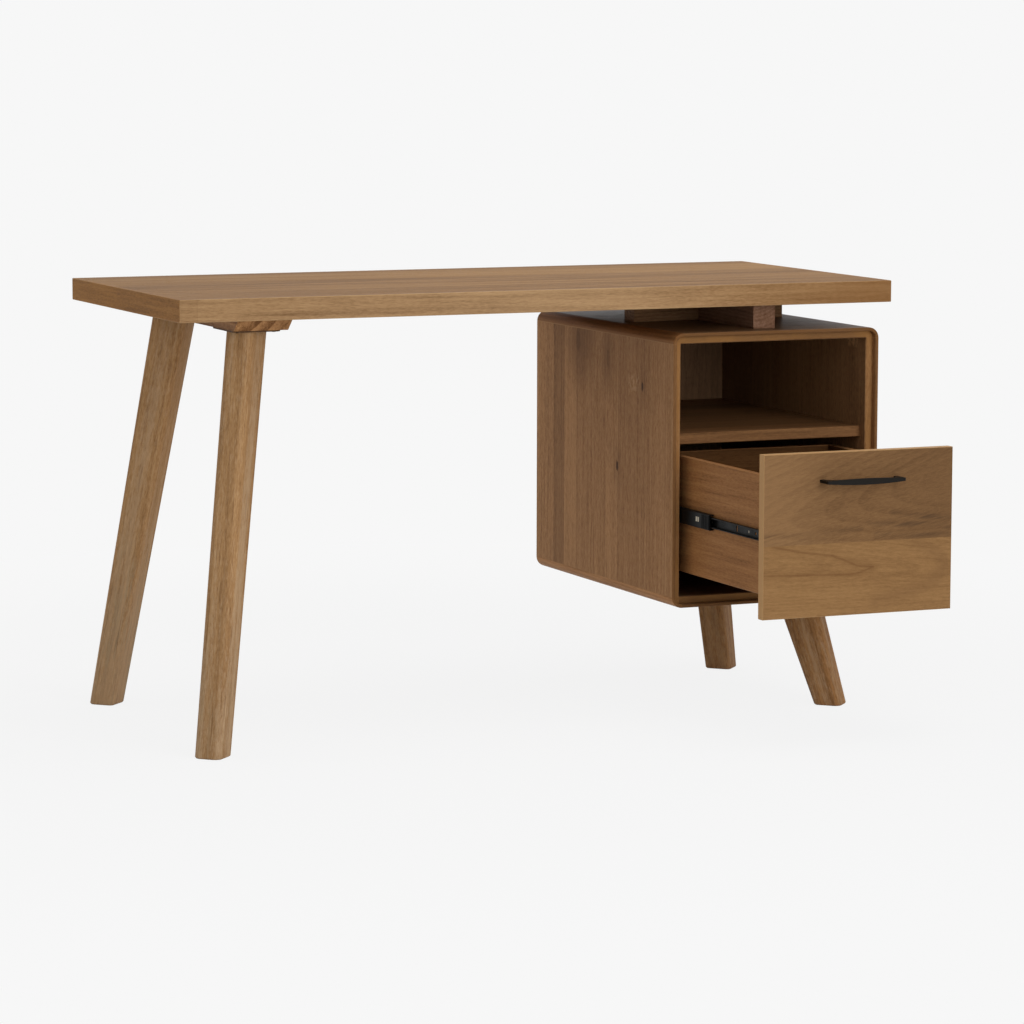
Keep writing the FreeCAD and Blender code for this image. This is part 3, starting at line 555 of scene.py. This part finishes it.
rail_tones = ((208, 164, 116), (170, 125, 82), (108, 72, 42))
centre_batten_tones = ((156, 122, 100), (128, 94, 72), (92, 62, 44))
cross_batten_tones = ((153, 120, 88), (125, 92, 63), (86, 59, 38))
batten_grain = dict(Ring_Spacing=0.006, Ring_Tilt=0.03, Rings=0.3, Streaks=0.5)
dress(wood("rail_wood", backward, downward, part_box("leg_rail")[0], rail_tones, Seed=9.2, Ring_Spacing=0.024,
           Ring_Tilt=0.05, Pith_Side=-0.02, Pith_Depth=-0.05, Wander=0.05, Rings=0.5, Clouds=0.7), "leg_rail")
dress(wood("centre_batten_wood", backward, downward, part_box("centre_batten")[0], centre_batten_tones,
           Seed=11.3, **batten_grain), "centre_batten")
dress(wood("cross_batten_wood", rightward, downward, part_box("cross_batten")[0], cross_batten_tones,
           Seed=12.8, **batten_grain), "cross_batten")

# Cabinet: upright boards on its sides, a lighter front lip, and painted shade inside

side_pale, side_body, side_deep = (186, 142, 98), (160, 118, 79), (108, 75, 47)
side_tones = (side_pale, side_body, side_deep)
panel_tones = ((130, 98, 70), (105, 75, 50), (73, 48, 30))
upper_post_tones = ((146, 100, 62), (120, 80, 47), (84, 52, 28))
# The lower posts' paler tones are painted light on the bottom rounding, which faces down into shade
lower_post_lit_tones = ((198, 150, 102), (172, 125, 82), (120, 80, 48))
shelf_tones = ((146, 106, 68), (120, 84, 53), (82, 56, 34))
back_tones = ((153, 119, 88), (132, 100, 73), (95, 71, 50))
# The groove colour is painted light on the lip's shaded inner walls
lip_brown, ledge_gold, groove_painted_light = (107, 73, 42), (142, 101, 57), (150, 104, 60)
# Painted shade inside the cubby: a colour near the front and a deeper one at the back
inside_shade_near, inside_shade_deep = (92, 68, 48), (70, 61, 52)
pale_patch_colour, curl_pale = (196, 150, 104), (200, 162, 120)
joint_dark, knot_dark = (70, 46, 28), (58, 34, 19)
panel_grain = dict(Ring_Spacing=0.014, Ring_Tilt=0.03, Pith_Depth=-0.09, Rings=0.06, Streaks=0.5, Flecks=0.4)
side_grain = dict(panel_grain, Streaks=0.34, Flecks=0.3, Fibres=0.75, Clouds=0.35)
back_grain = dict(panel_grain, Streaks=0.22, Flecks=0.25)
post_grain = dict(Ring_Spacing=0.006, Ring_Tilt=0.01, Pith_Depth=-0.05, Rings=0.25, Streaks=0.6, Fibres=0.3,
                  Pores=0.35)
grain_start_z = 0.44

# A pale patch on the inner right wall, and a curl of pale grain on the left side

pale_patch_low = (inner_right - 0.014, desk_y - 0.250, 0.643)
pale_patch_high = (inner_right + 0.002, desk_y - 0.212, 0.660)
curl_low = (side_low.x - 0.01, desk_y - 0.152, 0.566)
curl_high = (side_low.x + 0.01, desk_y - 0.108, 0.596)

# Boards of the left side: where each starts along the depth, and how much paler or, below 0, darker it is

board_starts = {-0.293: -0.06, -0.260: -0.05, -0.175: -0.08, -0.067: 0.03, -0.011: -0.02, 0.036: -0.05,
                0.110: 0.07, 0.168: -0.17, 0.213: 0.03}
boards_reach = 0.3
half_joint = 0.001

# Marks on the left side: place along the depth, height, size, and strength of the dark eye and of its shade

side_marks = ((-0.166, 0.578, 0.005, 0.85, 0.3), (-0.063, 0.428, 0.0055, 0.85, 0.3),
              (-0.006, 0.504, 0.003, 0.4, 0.2), (0.107, 0.640, 0.012, 0.3, 0.55),
              (-0.022, 0.617, 0.009, 0.2, 0.45), (0.060, 0.655, 0.010, 0.0, 0.4))


def cabinet_touch(n, colour, space):
    """The turned-in front lip, the paler ledge, painted light on the groove's walls behind it, and painted
    shade inside, deeper toward the back.
    """
    at = object_place(n)
    lip = box_mask(n, (-outside, cabinet_front - 0.01, 0.0), (outside, cabinet_front + 0.0012, outside))
    colour = n.tint(colour, lip_brown, lip, 0.75)
    ledge = box_mask(n, (-outside, recess - 0.0004, 0.0), (outside, recess + 0.0004, outside), border=0.0002)
    uneven = n.span(n.noise(at, (11.0, 1.0, 11.0), detail=4.0), 0.38, 0.62, 0.4, 0.85)
    colour = n.tint(colour, ledge_gold, ledge, uneven)
    # Painted light: the lip's inner walls, which the lip shades, are painted paler with a highlight
    inset = lip_width - past
    groove = box_mask(n, (side_low.x + inset, cabinet_front + 0.002, cabinet_bottom + inset),
                      (right_high.x - inset, recess - 0.0008, cabinet_top - inset), border=0.0003)
    colour = n.tint(colour, groove_painted_light, groove, 0.45)
    # Painted shade inside the cubby: its walls are darkened, more toward the back, where the shade falls
    room = box_mask(n, (inner_left - past, recess + 0.001, inner_floor - past),
                    (inner_right + past, outside, inner_roof + past))
    inward = n.split(at)[1]
    shallow, deep = desk_y - 0.1, desk_y + 0.25
    stain = n.tint(linear(*inside_shade_near), inside_shade_deep, n.span(inward, shallow, deep))
    colour = n.mix(n.times(room, n.span(inward, shallow, deep, 0.25, 0.5)), colour, stain)
    # A pale patch near the front of the inner right wall, broken up by noise
    pale_patch = box_mask(n, pale_patch_low, pale_patch_high, border=0.004)
    worn = n.span(n.noise(at, 150.0, detail=3.0), 0.35, 0.6)
    return n.tint(colour, pale_patch_colour, n.times(pale_patch, worn), 0.9)


def left_side_boards(n, colour, space):
    """The boards of the left side, each with its own tone, the joints between them, and its marks."""
    at = place_along(n, "Y")
    ramp = n.add("ShaderNodeValToRGB")
    ramp.color_ramp.interpolation = "LINEAR"
    stops = ramp.color_ramp.elements
    while len(stops) < 2 * len(board_starts):
        stops.new(0.5)
    board_ends = [*board_starts, boards_reach][1:]
    for i, ((start, tone), end) in enumerate(zip(board_starts.items(), board_ends)):
        level = 0.5 + tone
        for stop, where in ((stops[2 * i], start + half_joint), (stops[2 * i + 1], end - half_joint)):
            stop.position = (where + boards_reach) / (2 * boards_reach)
            stop.color = (level, level, level, 1.0)
    from_front = n.maths("SUBTRACT", at, desk_y - boards_reach)
    n.feed(ramp.inputs[0], n.maths("DIVIDE", from_front, 2 * boards_reach))
    swing = n.maths("SUBTRACT", n.split(ramp.outputs[0])[0], 0.5)
    for toward, strength in ((side_deep, -2.4), (side_pale, 2.4)):
        colour = n.tint(colour, toward, n.maths("MULTIPLY", swing, strength, clamp=True))
    for start in board_starts:
        gap = n.maths("ABSOLUTE", n.maths("SUBTRACT", at, desk_y + start))
        colour = n.tint(colour, joint_dark, n.span(gap, 0.0004, 0.0022, 0.22, 0.0))
    curl = box_mask(n, curl_low, curl_high, border=0.012)
    ripple = n.span(n.noise(space, (110.0, 150.0, 150.0), detail=3.0), 0.46, 0.6)
    colour = n.tint(colour, curl_pale, n.times(curl, ripple), 0.42)
    for back, above, size, eye, shade in side_marks:
        spot = grain_space(n, upward, leftward, (side_low.x, desk_y + back, above))
        mark = n.place(knot, Vector=spot, Size=size, Reach=5.0)
        colour = n.tint(colour, side_deep, mark["Shade"], shade)
        colour = n.tint(colour, knot_dark, mark["Eye"], eye)
    return cabinet_touch(n, colour, space)


def upper_post_painted_highlight(n, colour, space):
    """At the foot of an upper post, where its eased arris meets the side, painted light lifts the rounding to
    the side's colour and a painted highlight line runs along the edge.
    """
    at = place_along(n, "Z")
    # Painted light on the lower part of the rounding
    colour = n.tint(colour, side_body, n.span(at, post_foot + 0.003, post_foot + 0.008, 0.45, 0.0))
    # Painted highlight line along the foot of the rounding
    colour = n.tint(colour, (190, 150, 108), n.span(at, post_foot + 0.0006, post_foot + 0.0018, 0.4, 0.0))
    return cabinet_touch(n, colour, space)


dress(wood("cabinet_left_veneer", upward, leftward, (side_low.x, desk_y, grain_start_z), side_tones,
           touch=left_side_boards, Seed=6.1, Pith_Side=0.02, **side_grain), "cabinet_left_side")
dress(wood("cabinet_right_veneer", upward, rightward, (right_high.x, desk_y, grain_start_z), side_tones,
           board=0.08, board_tone=0.14, touch=cabinet_touch, Seed=8.3, Pith_Side=-0.04, **side_grain),
      "cabinet_right_side")
dress(wood("cabinet_top_veneer", rightward, upward, (cabinet_middle, desk_y, inner_roof), panel_tones,
           board=0.1, board_tone=0.1, touch=cabinet_touch, polish=0.2, Seed=10.1, **panel_grain),
      "cabinet_top_panel", "cabinet_bottom_panel")
dress(wood("upper_post_wood", backward, upward, (inner_left, desk_y, inner_roof), upper_post_tones,
           touch=upper_post_painted_highlight, Seed=13.7, **post_grain),
      "cabinet_top_left_post", "cabinet_top_right_post")
# Painted light: the bottom rounding takes paler tones than the upper posts
dress(wood("lower_post_wood", backward, downward, (inner_left, desk_y, inner_floor), lower_post_lit_tones,
           touch=cabinet_touch, Seed=14.9, **post_grain),
      "cabinet_bottom_left_post", "cabinet_bottom_right_post")
dress(wood("shelf_veneer", rightward, upward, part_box("cabinet_shelf")[0], shelf_tones, board=0.1,
           board_tone=0.1, Seed=14.2, **panel_grain), "cabinet_shelf")
dress(wood("back_panel_veneer", upward, backward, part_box("cabinet_back_panel")[0], back_tones, board=0.12,
           board_tone=0.06, Seed=15.9, **back_grain), "cabinet_back_panel")

# Drawer front, with grain lines drawn in millimetres right of the desk's middle and above the floor

lower_board_tones = ((160, 124, 83), (137, 103, 66), (97, 67, 40))
upper_board_tones = ((143, 108, 73), (121, 90, 59), (86, 60, 38))
lower_grain_way, lower_grain_start = (1, 0, -0.06), (470, 302)
upper_grain_way, upper_grain_start = (1, 0, 0.2), (440, 412)
loop_line = ((255, 350), (273, 346), (322, 334), (387, 325), (405, 318), (433, 306), (464, 302), (436, 293),
             (408, 292), (339, 294), (256, 297))
low_shades = ((545, 340), (592, 318), (602, 298), (585, 275), (540, 258), (470, 246))
mineral_streaks = (((257, 351), (300, 350), (345, 356)), ((258, 361), (320, 362), (400, 366), (440, 371)),
                   ((470, 356), (540, 352), (612, 350)), ((455, 378), (500, 374), (560, 370), (612, 364)),
                   ((500, 392), (560, 384), (612, 378)))
cut_edge = 0.0004
bend = 0.002


def front_point(x, z):
    """A place on the drawer front's face, from millimetres right of the desk's middle and above the floor."""
    return (x / 1000, front_low.y, z / 1000)


def drawn_line(n, points, soft):
    """Mask of a grain line through points on the drawer front: 1 on the line, fading out over soft metres."""
    at = object_place(n)
    nearest = None
    for start, end in zip(points, points[1:]):
        away = n.place(line_piece, Vector=at, From=front_point(*start), To=front_point(*end))["Distance"]
        nearest = away if nearest is None else n.maths("SMOOTH_MIN", nearest, away, bend)
    return n.span(nearest, 0.0, soft, 1.0, 0.0)


def front_edges(n, colour):
    """The pale cut edges of the drawer front."""
    inside = box_mask(n, (front_low.x + cut_edge, -outside, front_low.z + cut_edge),
                      (front_high.x - cut_edge, outside, upper_top - cut_edge), border=0.0002)
    return n.tint(colour, (192, 151, 104), n.maths("SUBTRACT", 1.0, inside), 0.8)


def lower_board_figure(n, colour, space):
    """The long loop in the lower board's grain, and the shade that follows it at the right."""
    for toward, points, soft, strength in (((110, 76, 46), loop_line, 0.016, 0.18),
                                           ((94, 62, 36), loop_line, 0.003, 0.38),
                                           ((104, 74, 48), low_shades, 0.022, 0.28)):
        colour = n.tint(colour, toward, drawn_line(n, points, soft), strength)
    return front_edges(n, colour)


def upper_board_figure(n, colour, space):
    """Paler at the left and darker at the right, with dark mineral streaks that gather along the joint."""
    at = place_along(n, "X")
    colour = n.tint(colour, (158, 122, 84), n.span(at, 0.26, 0.42, 0.30, 0.0))
    colour = n.tint(colour, (84, 60, 39), n.span(at, 0.44, 0.58, 0.0, 0.30))
    torn = n.noise(space, (7.0, 240.0, 240.0), detail=3.0, roughness=0.6)
    drawn = n.noise(space, (4.0, 70.0, 70.0), detail=3.0)
    dark = None
    for points in mineral_streaks:
        line = drawn_line(n, points, 0.009)
        dark = line if dark is None else n.maths("MAXIMUM", dark, line)
    broken = n.times(n.span(torn, 0.38, 0.62, 0.15, 1.0), n.span(drawn, 0.36, 0.6, 0.3, 1.0))
    colour = n.tint(colour, (70, 52, 38), n.times(dark, broken), 0.7)
    return front_edges(n, colour)


dress(wood("drawer_lower_board_wood", lower_grain_way, frontward, front_point(*lower_grain_start),
           lower_board_tones, edge=(172, 138, 98), edge_share=0.3, touch=lower_board_figure, Seed=16.4,
           Ring_Spacing=0.0045, Ring_Tilt=0.05, Pith_Depth=-0.045, Wander=0.012, Rings=0.1, Streaks=0.2,
           Flecks=0.12, Fibres=0.3, Clouds=0.25), "drawer_front_lower_board")
dress(wood("drawer_upper_board_wood", upper_grain_way, frontward, front_point(*upper_grain_start),
           upper_board_tones, edge=(168, 134, 95), edge_share=0.3, touch=upper_board_figure, Seed=17.8,
           Ring_Spacing=0.009, Ring_Tilt=-0.15, Pith_Depth=-0.06, Wander=0.02, Rings=0.14, Streaks=0.16,
           Flecks=0.1, Fibres=0.35, Clouds=0.3), "drawer_front_upper_board")

# Drawer box, and the beech of the hidden tongues and dowels

box_tones = ((177, 127, 81), (153, 107, 66), (107, 71, 41))
beech_tones = ((206, 168, 122), (186, 146, 100), (150, 110, 70))
box_grain = dict(Ring_Spacing=0.009, Ring_Tilt=0.04, Rings=0.1, Streaks=0.4)


def drawer_inside_shade(n, colour, space):
    """Painted shade inside the drawer."""
    # Painted shade: the drawer's inner faces are darkened
    room = box_mask(n, (box_left - past, -outside, 0.0),
                    (box_right + past, box_back + past, box_rim - 0.0012))
    return n.mix(n.times(room, 0.9), colour, (0.34, 0.32, 0.29, 1.0), blend="MULTIPLY")


dress(wood("drawer_side_wood", backward, leftward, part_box("drawer_left_side")[0], box_tones, touch=drawer_inside_shade,
           edge=(170, 132, 96), Seed=18.5, **box_grain), "drawer_left_side", "drawer_right_side")
dress(wood("drawer_cross_wood", rightward, backward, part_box("drawer_back")[0], box_tones, touch=drawer_inside_shade,
           Seed=19.9, **box_grain), "drawer_inner_front", "drawer_back")
dress(wood("drawer_bottom_veneer", rightward, upward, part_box("drawer_bottom")[0], box_tones, touch=drawer_inside_shade,
           Seed=21.4, **box_grain), "drawer_bottom")
dress(wood("joinery_beech", backward, upward, (0, 0, 0), beech_tones, Seed=22.6, Ring_Spacing=0.004,
           Rings=0.2, Streaks=0.4), "cabinet_tongues", "drawer_dowels")

# Metal and plastic


def coated(name, base, worn, rough, skin_scale, relief, metallic=0.0, specular=0.14):
    """A thin coat over metal or plastic: uneven gloss, a fine skin, and paler rubbed edges."""
    material, n, shader = finish_material(name, specular)
    shader.inputs["Metallic"].default_value = metallic
    at = object_place(n)
    skin = n.noise(at, skin_scale, detail=3.0)
    smear = n.noise(at, 38.0, detail=3.0)
    colour = n.tint(linear(*base), worn, n.span(smear, 0.3, 0.75, 0.0, 0.35))
    edge_mask = n.place(eased_edge, Vector=at, Breaks=140.0)["Mask"]
    n.feed(shader.inputs["Base Color"], n.tint(colour, worn, edge_mask, 0.5))
    n.feed(shader.inputs["Roughness"], n.span(smear, 0.25, 0.75, rough - 0.08, rough + 0.1))
    add_bump(n, shader, skin, strength=0.3, distance=relief)
    return material


black_steel = coated("black_slide_steel", (9, 9, 9), (20, 20, 20), rough=0.42, skin_scale=900.0,
                     relief=0.00004, specular=0.09)
pull_coat = coated("black_pull_coat", (13, 10, 7), (30, 24, 17), rough=0.48, skin_scale=1500.0,
                   relief=0.00005, specular=0.11)
cap_plastic = coated("black_cap_plastic", (10, 10, 10), (26, 26, 25), rough=0.55, skin_scale=1100.0,
                     relief=0.00006, specular=0.09)
plate_steel = coated("dark_plate_steel", (78, 56, 38), (98, 74, 54), rough=0.5, skin_scale=700.0,
                     relief=0.00005, specular=0.05)
cage_steel = coated("pressed_cage_steel", (176, 175, 172), (200, 199, 196), rough=0.32, skin_scale=800.0,
                    relief=0.00003, metallic=1.0)
zinc_steel = coated("zinc_screw_steel", (178, 174, 164), (206, 203, 196), rough=0.34, skin_scale=1200.0,
                    relief=0.00003, metallic=1.0)
dull_steel = coated("dull_screw_steel", (124, 116, 104), (150, 144, 134), rough=0.4, skin_scale=1200.0,
                    relief=0.00003, metallic=1.0)
clip_steel = coated("bright_clip_steel", (190, 180, 160), (212, 206, 192), rough=0.4, skin_scale=900.0,
                    relief=0.00002)
ball_steel = coated("polished_ball_steel", (196, 196, 197), (214, 214, 214), rough=0.12, skin_scale=600.0,
                    relief=0.00001, metallic=1.0)
for slide in ("left_slide_", "right_slide_"):
    dress(black_steel, slide + "cabinet_member", slide + "middle_member", slide + "drawer_member")
    dress(cap_plastic, slide + "end_cap")
    dress(cage_steel, slide + "outer_cage", slide + "inner_cage")
dress(pull_coat, "drawer_pull")
dress(plate_steel, "leg_plates")
dress(zinc_steel, "batten_insert_nuts", "leg_hanger_bolts")

# Screws and balls, grown by geometry nodes in place of the plain ones


def link_piece(name, data):
    """New object in the scene, with its mesh, light or camera."""
    piece = bpy.data.objects.new(name, data)
    bpy.context.scene.collection.objects.link(piece)
    return piece


class Shapes(Nodes):
    """Nodes of a geometry tree whose last steps place the made piece on each point of the given mesh."""

    def __init__(self, name, sizes):
        super().__init__(bpy.data.node_groups.new(name, "GeometryNodeTree"))
        face = self.tree.interface
        face.new_socket("Geometry", in_out="INPUT", socket_type="NodeSocketGeometry")
        for label in sizes:
            face.new_socket(label, in_out="INPUT", socket_type="NodeSocketFloat")
        face.new_socket("Turn", in_out="INPUT", socket_type="NodeSocketVector")
        face.new_socket("Material", in_out="INPUT", socket_type="NodeSocketMaterial")
        face.new_socket("Geometry", in_out="OUTPUT", socket_type="NodeSocketGeometry")
        self.given = self.add("NodeGroupInput").outputs

    def shape(self, kind, **inputs):
        node = self.add(kind)
        for label, value in inputs.items():
            self.feed(node.inputs[label.replace("_", " ")], value)
        return node.outputs[0]

    def cone(self, vertices, top, bottom, depth, drop):
        """A cone or cylinder that starts at drop below the point and is depth high."""
        mesh = self.shape("GeometryNodeMeshCone", Vertices=vertices, Radius_Top=top, Radius_Bottom=bottom,
                          Depth=depth)
        offset = self.shape("ShaderNodeCombineXYZ", Z=self.times(drop, -1.0))
        return self.shape("GeometryNodeTransform", Geometry=mesh, Translation=offset)

    def join(self, pieces):
        whole = self.add("GeometryNodeJoinGeometry")
        for piece in pieces:
            self.tree.links.new(piece, whole.inputs[0])
        return whole.outputs[0]

    def close(self, mesh):
        spread = self.shape("GeometryNodeInstanceOnPoints", Points=self.given["Geometry"], Instance=mesh,
                            Rotation=self.given["Turn"])
        real = self.shape("GeometryNodeRealizeInstances", Geometry=spread)
        dressed = self.shape("GeometryNodeSetMaterial", Geometry=real, Material=self.given["Material"])
        self.feed(self.add("NodeGroupOutput").inputs[0], dressed)
        return self.tree


def build_screw_tree():
    """A screw with its head's top at each point: shank, rim, domed cap and a sunk cross."""
    sizes = ("Head Radius", "Head Height", "Dome", "Shank Radius", "Length")
    t = Shapes("screws", sizes)
    radius, height, dome, shank_radius, length = (t.given[label] for label in sizes)
    head_sides, shank_sides = 24, 12
    cap_share, tip_share, cross_long, cross_thin = 0.72, 0.4, 1.1, 0.22
    rim = t.cone(head_sides, radius, shank_radius, t.maths("SUBTRACT", height, dome), height)
    cap = t.cone(head_sides, t.times(radius, cap_share), radius, dome, dome)
    tip = t.times(shank_radius, tip_share)
    shank = t.cone(shank_sides, shank_radius, tip, t.maths("SUBTRACT", length, height), length)
    long_side = t.times(radius, cross_long)
    thin_side = t.times(radius, cross_thin)
    bars = []
    for wide, deep in ((long_side, thin_side), (thin_side, long_side)):
        size = t.shape("ShaderNodeCombineXYZ", X=wide, Y=deep, Z=height)
        bars.append(t.shape("GeometryNodeMeshCube", Size=size))
    sunk = t.add("GeometryNodeMeshBoolean", operation="DIFFERENCE", solver="EXACT")
    t.feed(sunk.inputs["Mesh 1"], cap)
    t.feed(sunk.inputs["Mesh 2"], t.join(bars))
    return t.close(t.join((sunk.outputs[0], rim, shank)))


def build_ball_tree():
    """A smooth ball on each point."""
    t = Shapes("balls", ("Radius",))
    ball = t.shape("GeometryNodeMeshIcoSphere", Radius=t.given["Radius"], Subdivisions=3)
    return t.close(t.shape("GeometryNodeSetShadeSmooth", Geometry=ball))


def islands(mesh):
    """Lowest and highest corner of each separate lump of a mesh."""
    leader = {}

    def find(key):
        while leader[key] != key:
            key = leader[key]
        return key

    keys = [tuple(round(c, 6) for c in v.co) for v in mesh.vertices]
    for key in keys:
        leader[key] = key
    for edge in mesh.edges:
        leader[find(keys[edge.vertices[0]])] = find(keys[edge.vertices[1]])
    lumps = {}
    for key in leader:
        lumps.setdefault(find(key), []).append(Vector(key))
    return [(Vector(map(min, zip(*lump))), Vector(map(max, zip(*lump)))) for lump in lumps.values()]


def grow(name, tree, points, **values):
    """Plain mesh that the tree makes from the points."""
    seeds = bpy.data.meshes.new(name + "_points")
    seeds.from_pydata(points, [], [])
    holder = link_piece(name + "_points", seeds)
    step = holder.modifiers.new("grow", "NODES")
    step.node_group = tree
    for socket in tree.interface.items_tree:
        key = socket.name.replace(" ", "_")
        if socket.in_out == "INPUT" and key in values:
            step[socket.identifier] = values[key]
    bpy.context.view_layer.update()
    made = bpy.data.meshes.new_from_object(holder.evaluated_get(bpy.context.evaluated_depsgraph_get()))
    bpy.data.objects.remove(holder)
    return made


def stand_in(node, meshes, material):
    """One piece from the meshes, in place of a CAD node."""
    whole = bmesh.new()
    for mesh in meshes:
        whole.from_mesh(mesh)
    mesh = bpy.data.meshes.new(node + "_made")
    whole.to_mesh(mesh)
    whole.free()
    mesh.materials.append(material)
    piece = link_piece(node + "_made", mesh)
    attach(piece, body_of[node])
    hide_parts(node)


screw_tree = build_screw_tree()
ball_tree = build_ball_tree()
head_height_share = 0.55


def make_screws(node, outward, shank, dome_share, steel):
    """Round screws with a sunk cross in place of a node's plain ones. outward gives the way a head looks."""
    lumps = {}
    for low, high in islands(nodes[node].data):
        lumps.setdefault(outward((low + high) / 2), []).append((low, high))
    meshes = []
    for way, boxes in lumps.items():
        way = Vector(way)
        axis = max(range(3), key=lambda i: abs(way[i]))
        sizes = boxes[0][1] - boxes[0][0]
        radius = min(sizes[i] for i in range(3) if i != axis) / 2
        tops = [(low + high) / 2 + way * (high - low)[axis] / 2 for low, high in boxes]
        height = radius * head_height_share
        meshes.append(grow(node, screw_tree, tops, Head_Radius=radius, Head_Height=height,
                           Dome=height * dome_share, Shank_Radius=shank, Length=sizes[axis],
                           Turn=way.to_track_quat("Z", "Y").to_euler(), Material=steel))
    stand_in(node, meshes, steel)


def always(way):
    """Every head looks the same way."""
    return lambda place: way


def to_middle(sign):
    """Heads look to the cabinet's middle where sign is 1, and away from it where sign is -1."""
    middle = (inner_left + inner_right) / 2
    return lambda place: (sign if place.x < middle else -sign, 0, 0)


for node, outward, shank, dome_share, steel in (
        ("leg_plate_screws", always(downward), 0.0018, 0.6, zinc_steel),
        ("leg_rail_screws", always(downward), 0.0018, 0.3, zinc_steel),
        ("batten_bolts", always(downward), 0.0028, 0.6, zinc_steel),
        ("cabinet_back_screws", always(backward), 0.0018, 0.3, zinc_steel),
        ("drawer_front_screws", always(backward), 0.0018, 0.6, zinc_steel),
        ("drawer_pull_screws", always(backward), 0.0015, 0.6, zinc_steel),
        ("slide_cabinet_screws", to_middle(1), 0.0016, 0.3, dull_steel),
        ("slide_drawer_screws", to_middle(-1), 0.0016, 0.3, dull_steel)):
    make_screws(node, outward, shank, dome_share, steel)
for side in ("left", "right"):
    for row in ("outer", "inner"):
        node = side + "_slide_" + row + "_balls"
        boxes = islands(nodes[node].data)
        middles = [(low + high) / 2 for low, high in boxes]
        radius = max(boxes[0][1] - boxes[0][0]) / 2
        balls = grow(node, ball_tree, middles, Radius=radius, Turn=(0.0, 0.0, 0.0), Material=ball_steel)
        stand_in(node, [balls], ball_steel)

# Two bright clip tongues that show behind the end cap, on the wall side of each middle member

clip_y, clip_z = desk_y - 0.346, 0.364
clip_size = Vector((0.0003, 0.005, 0.008))
clip_pitch = 0.007
for side, edge, way in (("left", 0, -1), ("right", 1, 1)):
    node = side + "_slide_middle_member"
    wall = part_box(node)[edge].x
    whole = bmesh.new()
    for step in (-0.5, 0.5):
        middle = Vector((wall + way * clip_size.x / 2, clip_y + step * clip_pitch, clip_z))
        bmesh.ops.create_cube(whole, matrix=Matrix.Translation(middle) @ Matrix.Diagonal((*clip_size, 1.0)))
    mesh = bpy.data.meshes.new(side + "_slide_clips")
    whole.to_mesh(mesh)
    whole.free()
    mesh.materials.append(clip_steel)
    clips = link_piece(side + "_slide_clips", mesh)
    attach(clips, body_of[node])

# Floor, light and camera

backdrop = linear(247, 247, 247)
floor_grey = (0.8, 0.8, 0.8, 1.0)
ambient = (0.45, 0.45, 0.45, 1.0)
floor_reach = 40.0
shadow_near, shadow_far, shadow_glow = 0.9, 2.2, 0.93


def shown_rays(n):
    """1 where the camera, a reflection or a see-through piece looks, 0 for light on the desk."""
    path = n.add("ShaderNodeLightPath").outputs
    seen = n.maths("MAXIMUM", path["Is Camera Ray"], path["Is Glossy Ray"])
    return n.maths("MAXIMUM", seen, path["Is Transmission Ray"])


def blend_shaders(n, share, first, second):
    """Output of a shader that goes from the first to the second."""
    node = n.add("ShaderNodeMixShader")
    for socket, value in zip(node.inputs, (share, first, second)):
        n.feed(socket, value)
    return node.outputs[0]


def soft_box(name, place, aim, size, power):
    """Square studio light turned toward a point."""
    data = bpy.data.lights.new(name, "AREA")
    data.size = size
    data.energy = power
    lamp = link_piece(name, data)
    lamp.location = place
    lamp.rotation_euler = (Vector(aim) - Vector(place)).to_track_quat("-Z", "Y").to_euler()


floor_mesh = bpy.data.meshes.new("floor")
corners = [(x * floor_reach, y * floor_reach, 0) for x, y in ((-1, -1), (1, -1), (1, 1), (-1, 1))]
floor_mesh.from_pydata(corners, [], [(0, 1, 2, 3)])
floor = link_piece("floor", floor_mesh)
pale_floor = bpy.data.materials.new("pale_floor")
pale_floor.use_nodes = True
floor_mesh.materials.append(pale_floor)
n = Nodes(pale_floor.node_tree)
n.tree.nodes.remove(n.tree.nodes["Principled BSDF"])
matt = n.add("ShaderNodeBsdfDiffuse")
matt.inputs["Color"].default_value = floor_grey
glow = n.add("ShaderNodeEmission")
glow.inputs["Color"].default_value = backdrop
from_desk = n.vector("LENGTH", n.vector("SUBTRACT", object_place(n), (0.0, desk_y, 0.0)))
glow_share = n.span(from_desk, shadow_near, shadow_far, shadow_glow, 1.0)
plain = blend_shaders(n, glow_share, matt.outputs[0], glow.outputs[0])
shown = blend_shaders(n, shown_rays(n), matt.outputs[0], plain)
n.feed(n.tree.nodes["Material Output"].inputs["Surface"], shown)
floor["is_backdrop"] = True

world = bpy.data.worlds.new("studio")
bpy.context.scene.world = world
world.use_nodes = True
n = Nodes(world.node_tree)
n.feed(n.tree.nodes["Background"].inputs["Color"], n.mix(shown_rays(n), ambient, backdrop))

soft_box("front_soft_box", (0.9, -4.2, 1.4), aim=(0.2, 0.0, 0.5), size=2.4, power=85.0)
soft_box("ceiling_soft_box", (0.6, -0.6, 5.0), aim=(0.1, 0.0, 0.5), size=3.0, power=92.0)
soft_box("left_soft_box", (-4.2, 1.4, 1.7), aim=(0.0, 0.1, 0.4), size=2.4, power=26.0)

focal_px, frame_px, sensor_mm = 4060.45, 1024, 36.0
yaw, pitch, roll = 0.409657, 0.123965, 0.002302
camera_place = (-2.797081, -6.578609 + desk_y, 1.239405)
right = Vector((math.cos(yaw), -math.sin(yaw), 0.0))
forward = Vector((math.sin(yaw) * math.cos(pitch), math.cos(yaw) * math.cos(pitch), -math.sin(pitch)))
up = right.cross(forward)
turned_right = right * math.cos(roll) + up * math.sin(roll)
turned_up = up * math.cos(roll) - right * math.sin(roll)
lens = bpy.data.cameras.new("photo_view")
lens.sensor_width = sensor_mm
lens.lens = focal_px * sensor_mm / frame_px
lens.clip_end = 200.0
camera = link_piece("photo_view", lens)
camera.matrix_world = Matrix((turned_right, turned_up, -forward)).transposed().to_4x4()
camera.location = camera_place
bpy.context.scene.camera = camera
bpy.context.scene.view_settings.view_transform = "Standard"

low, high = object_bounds()
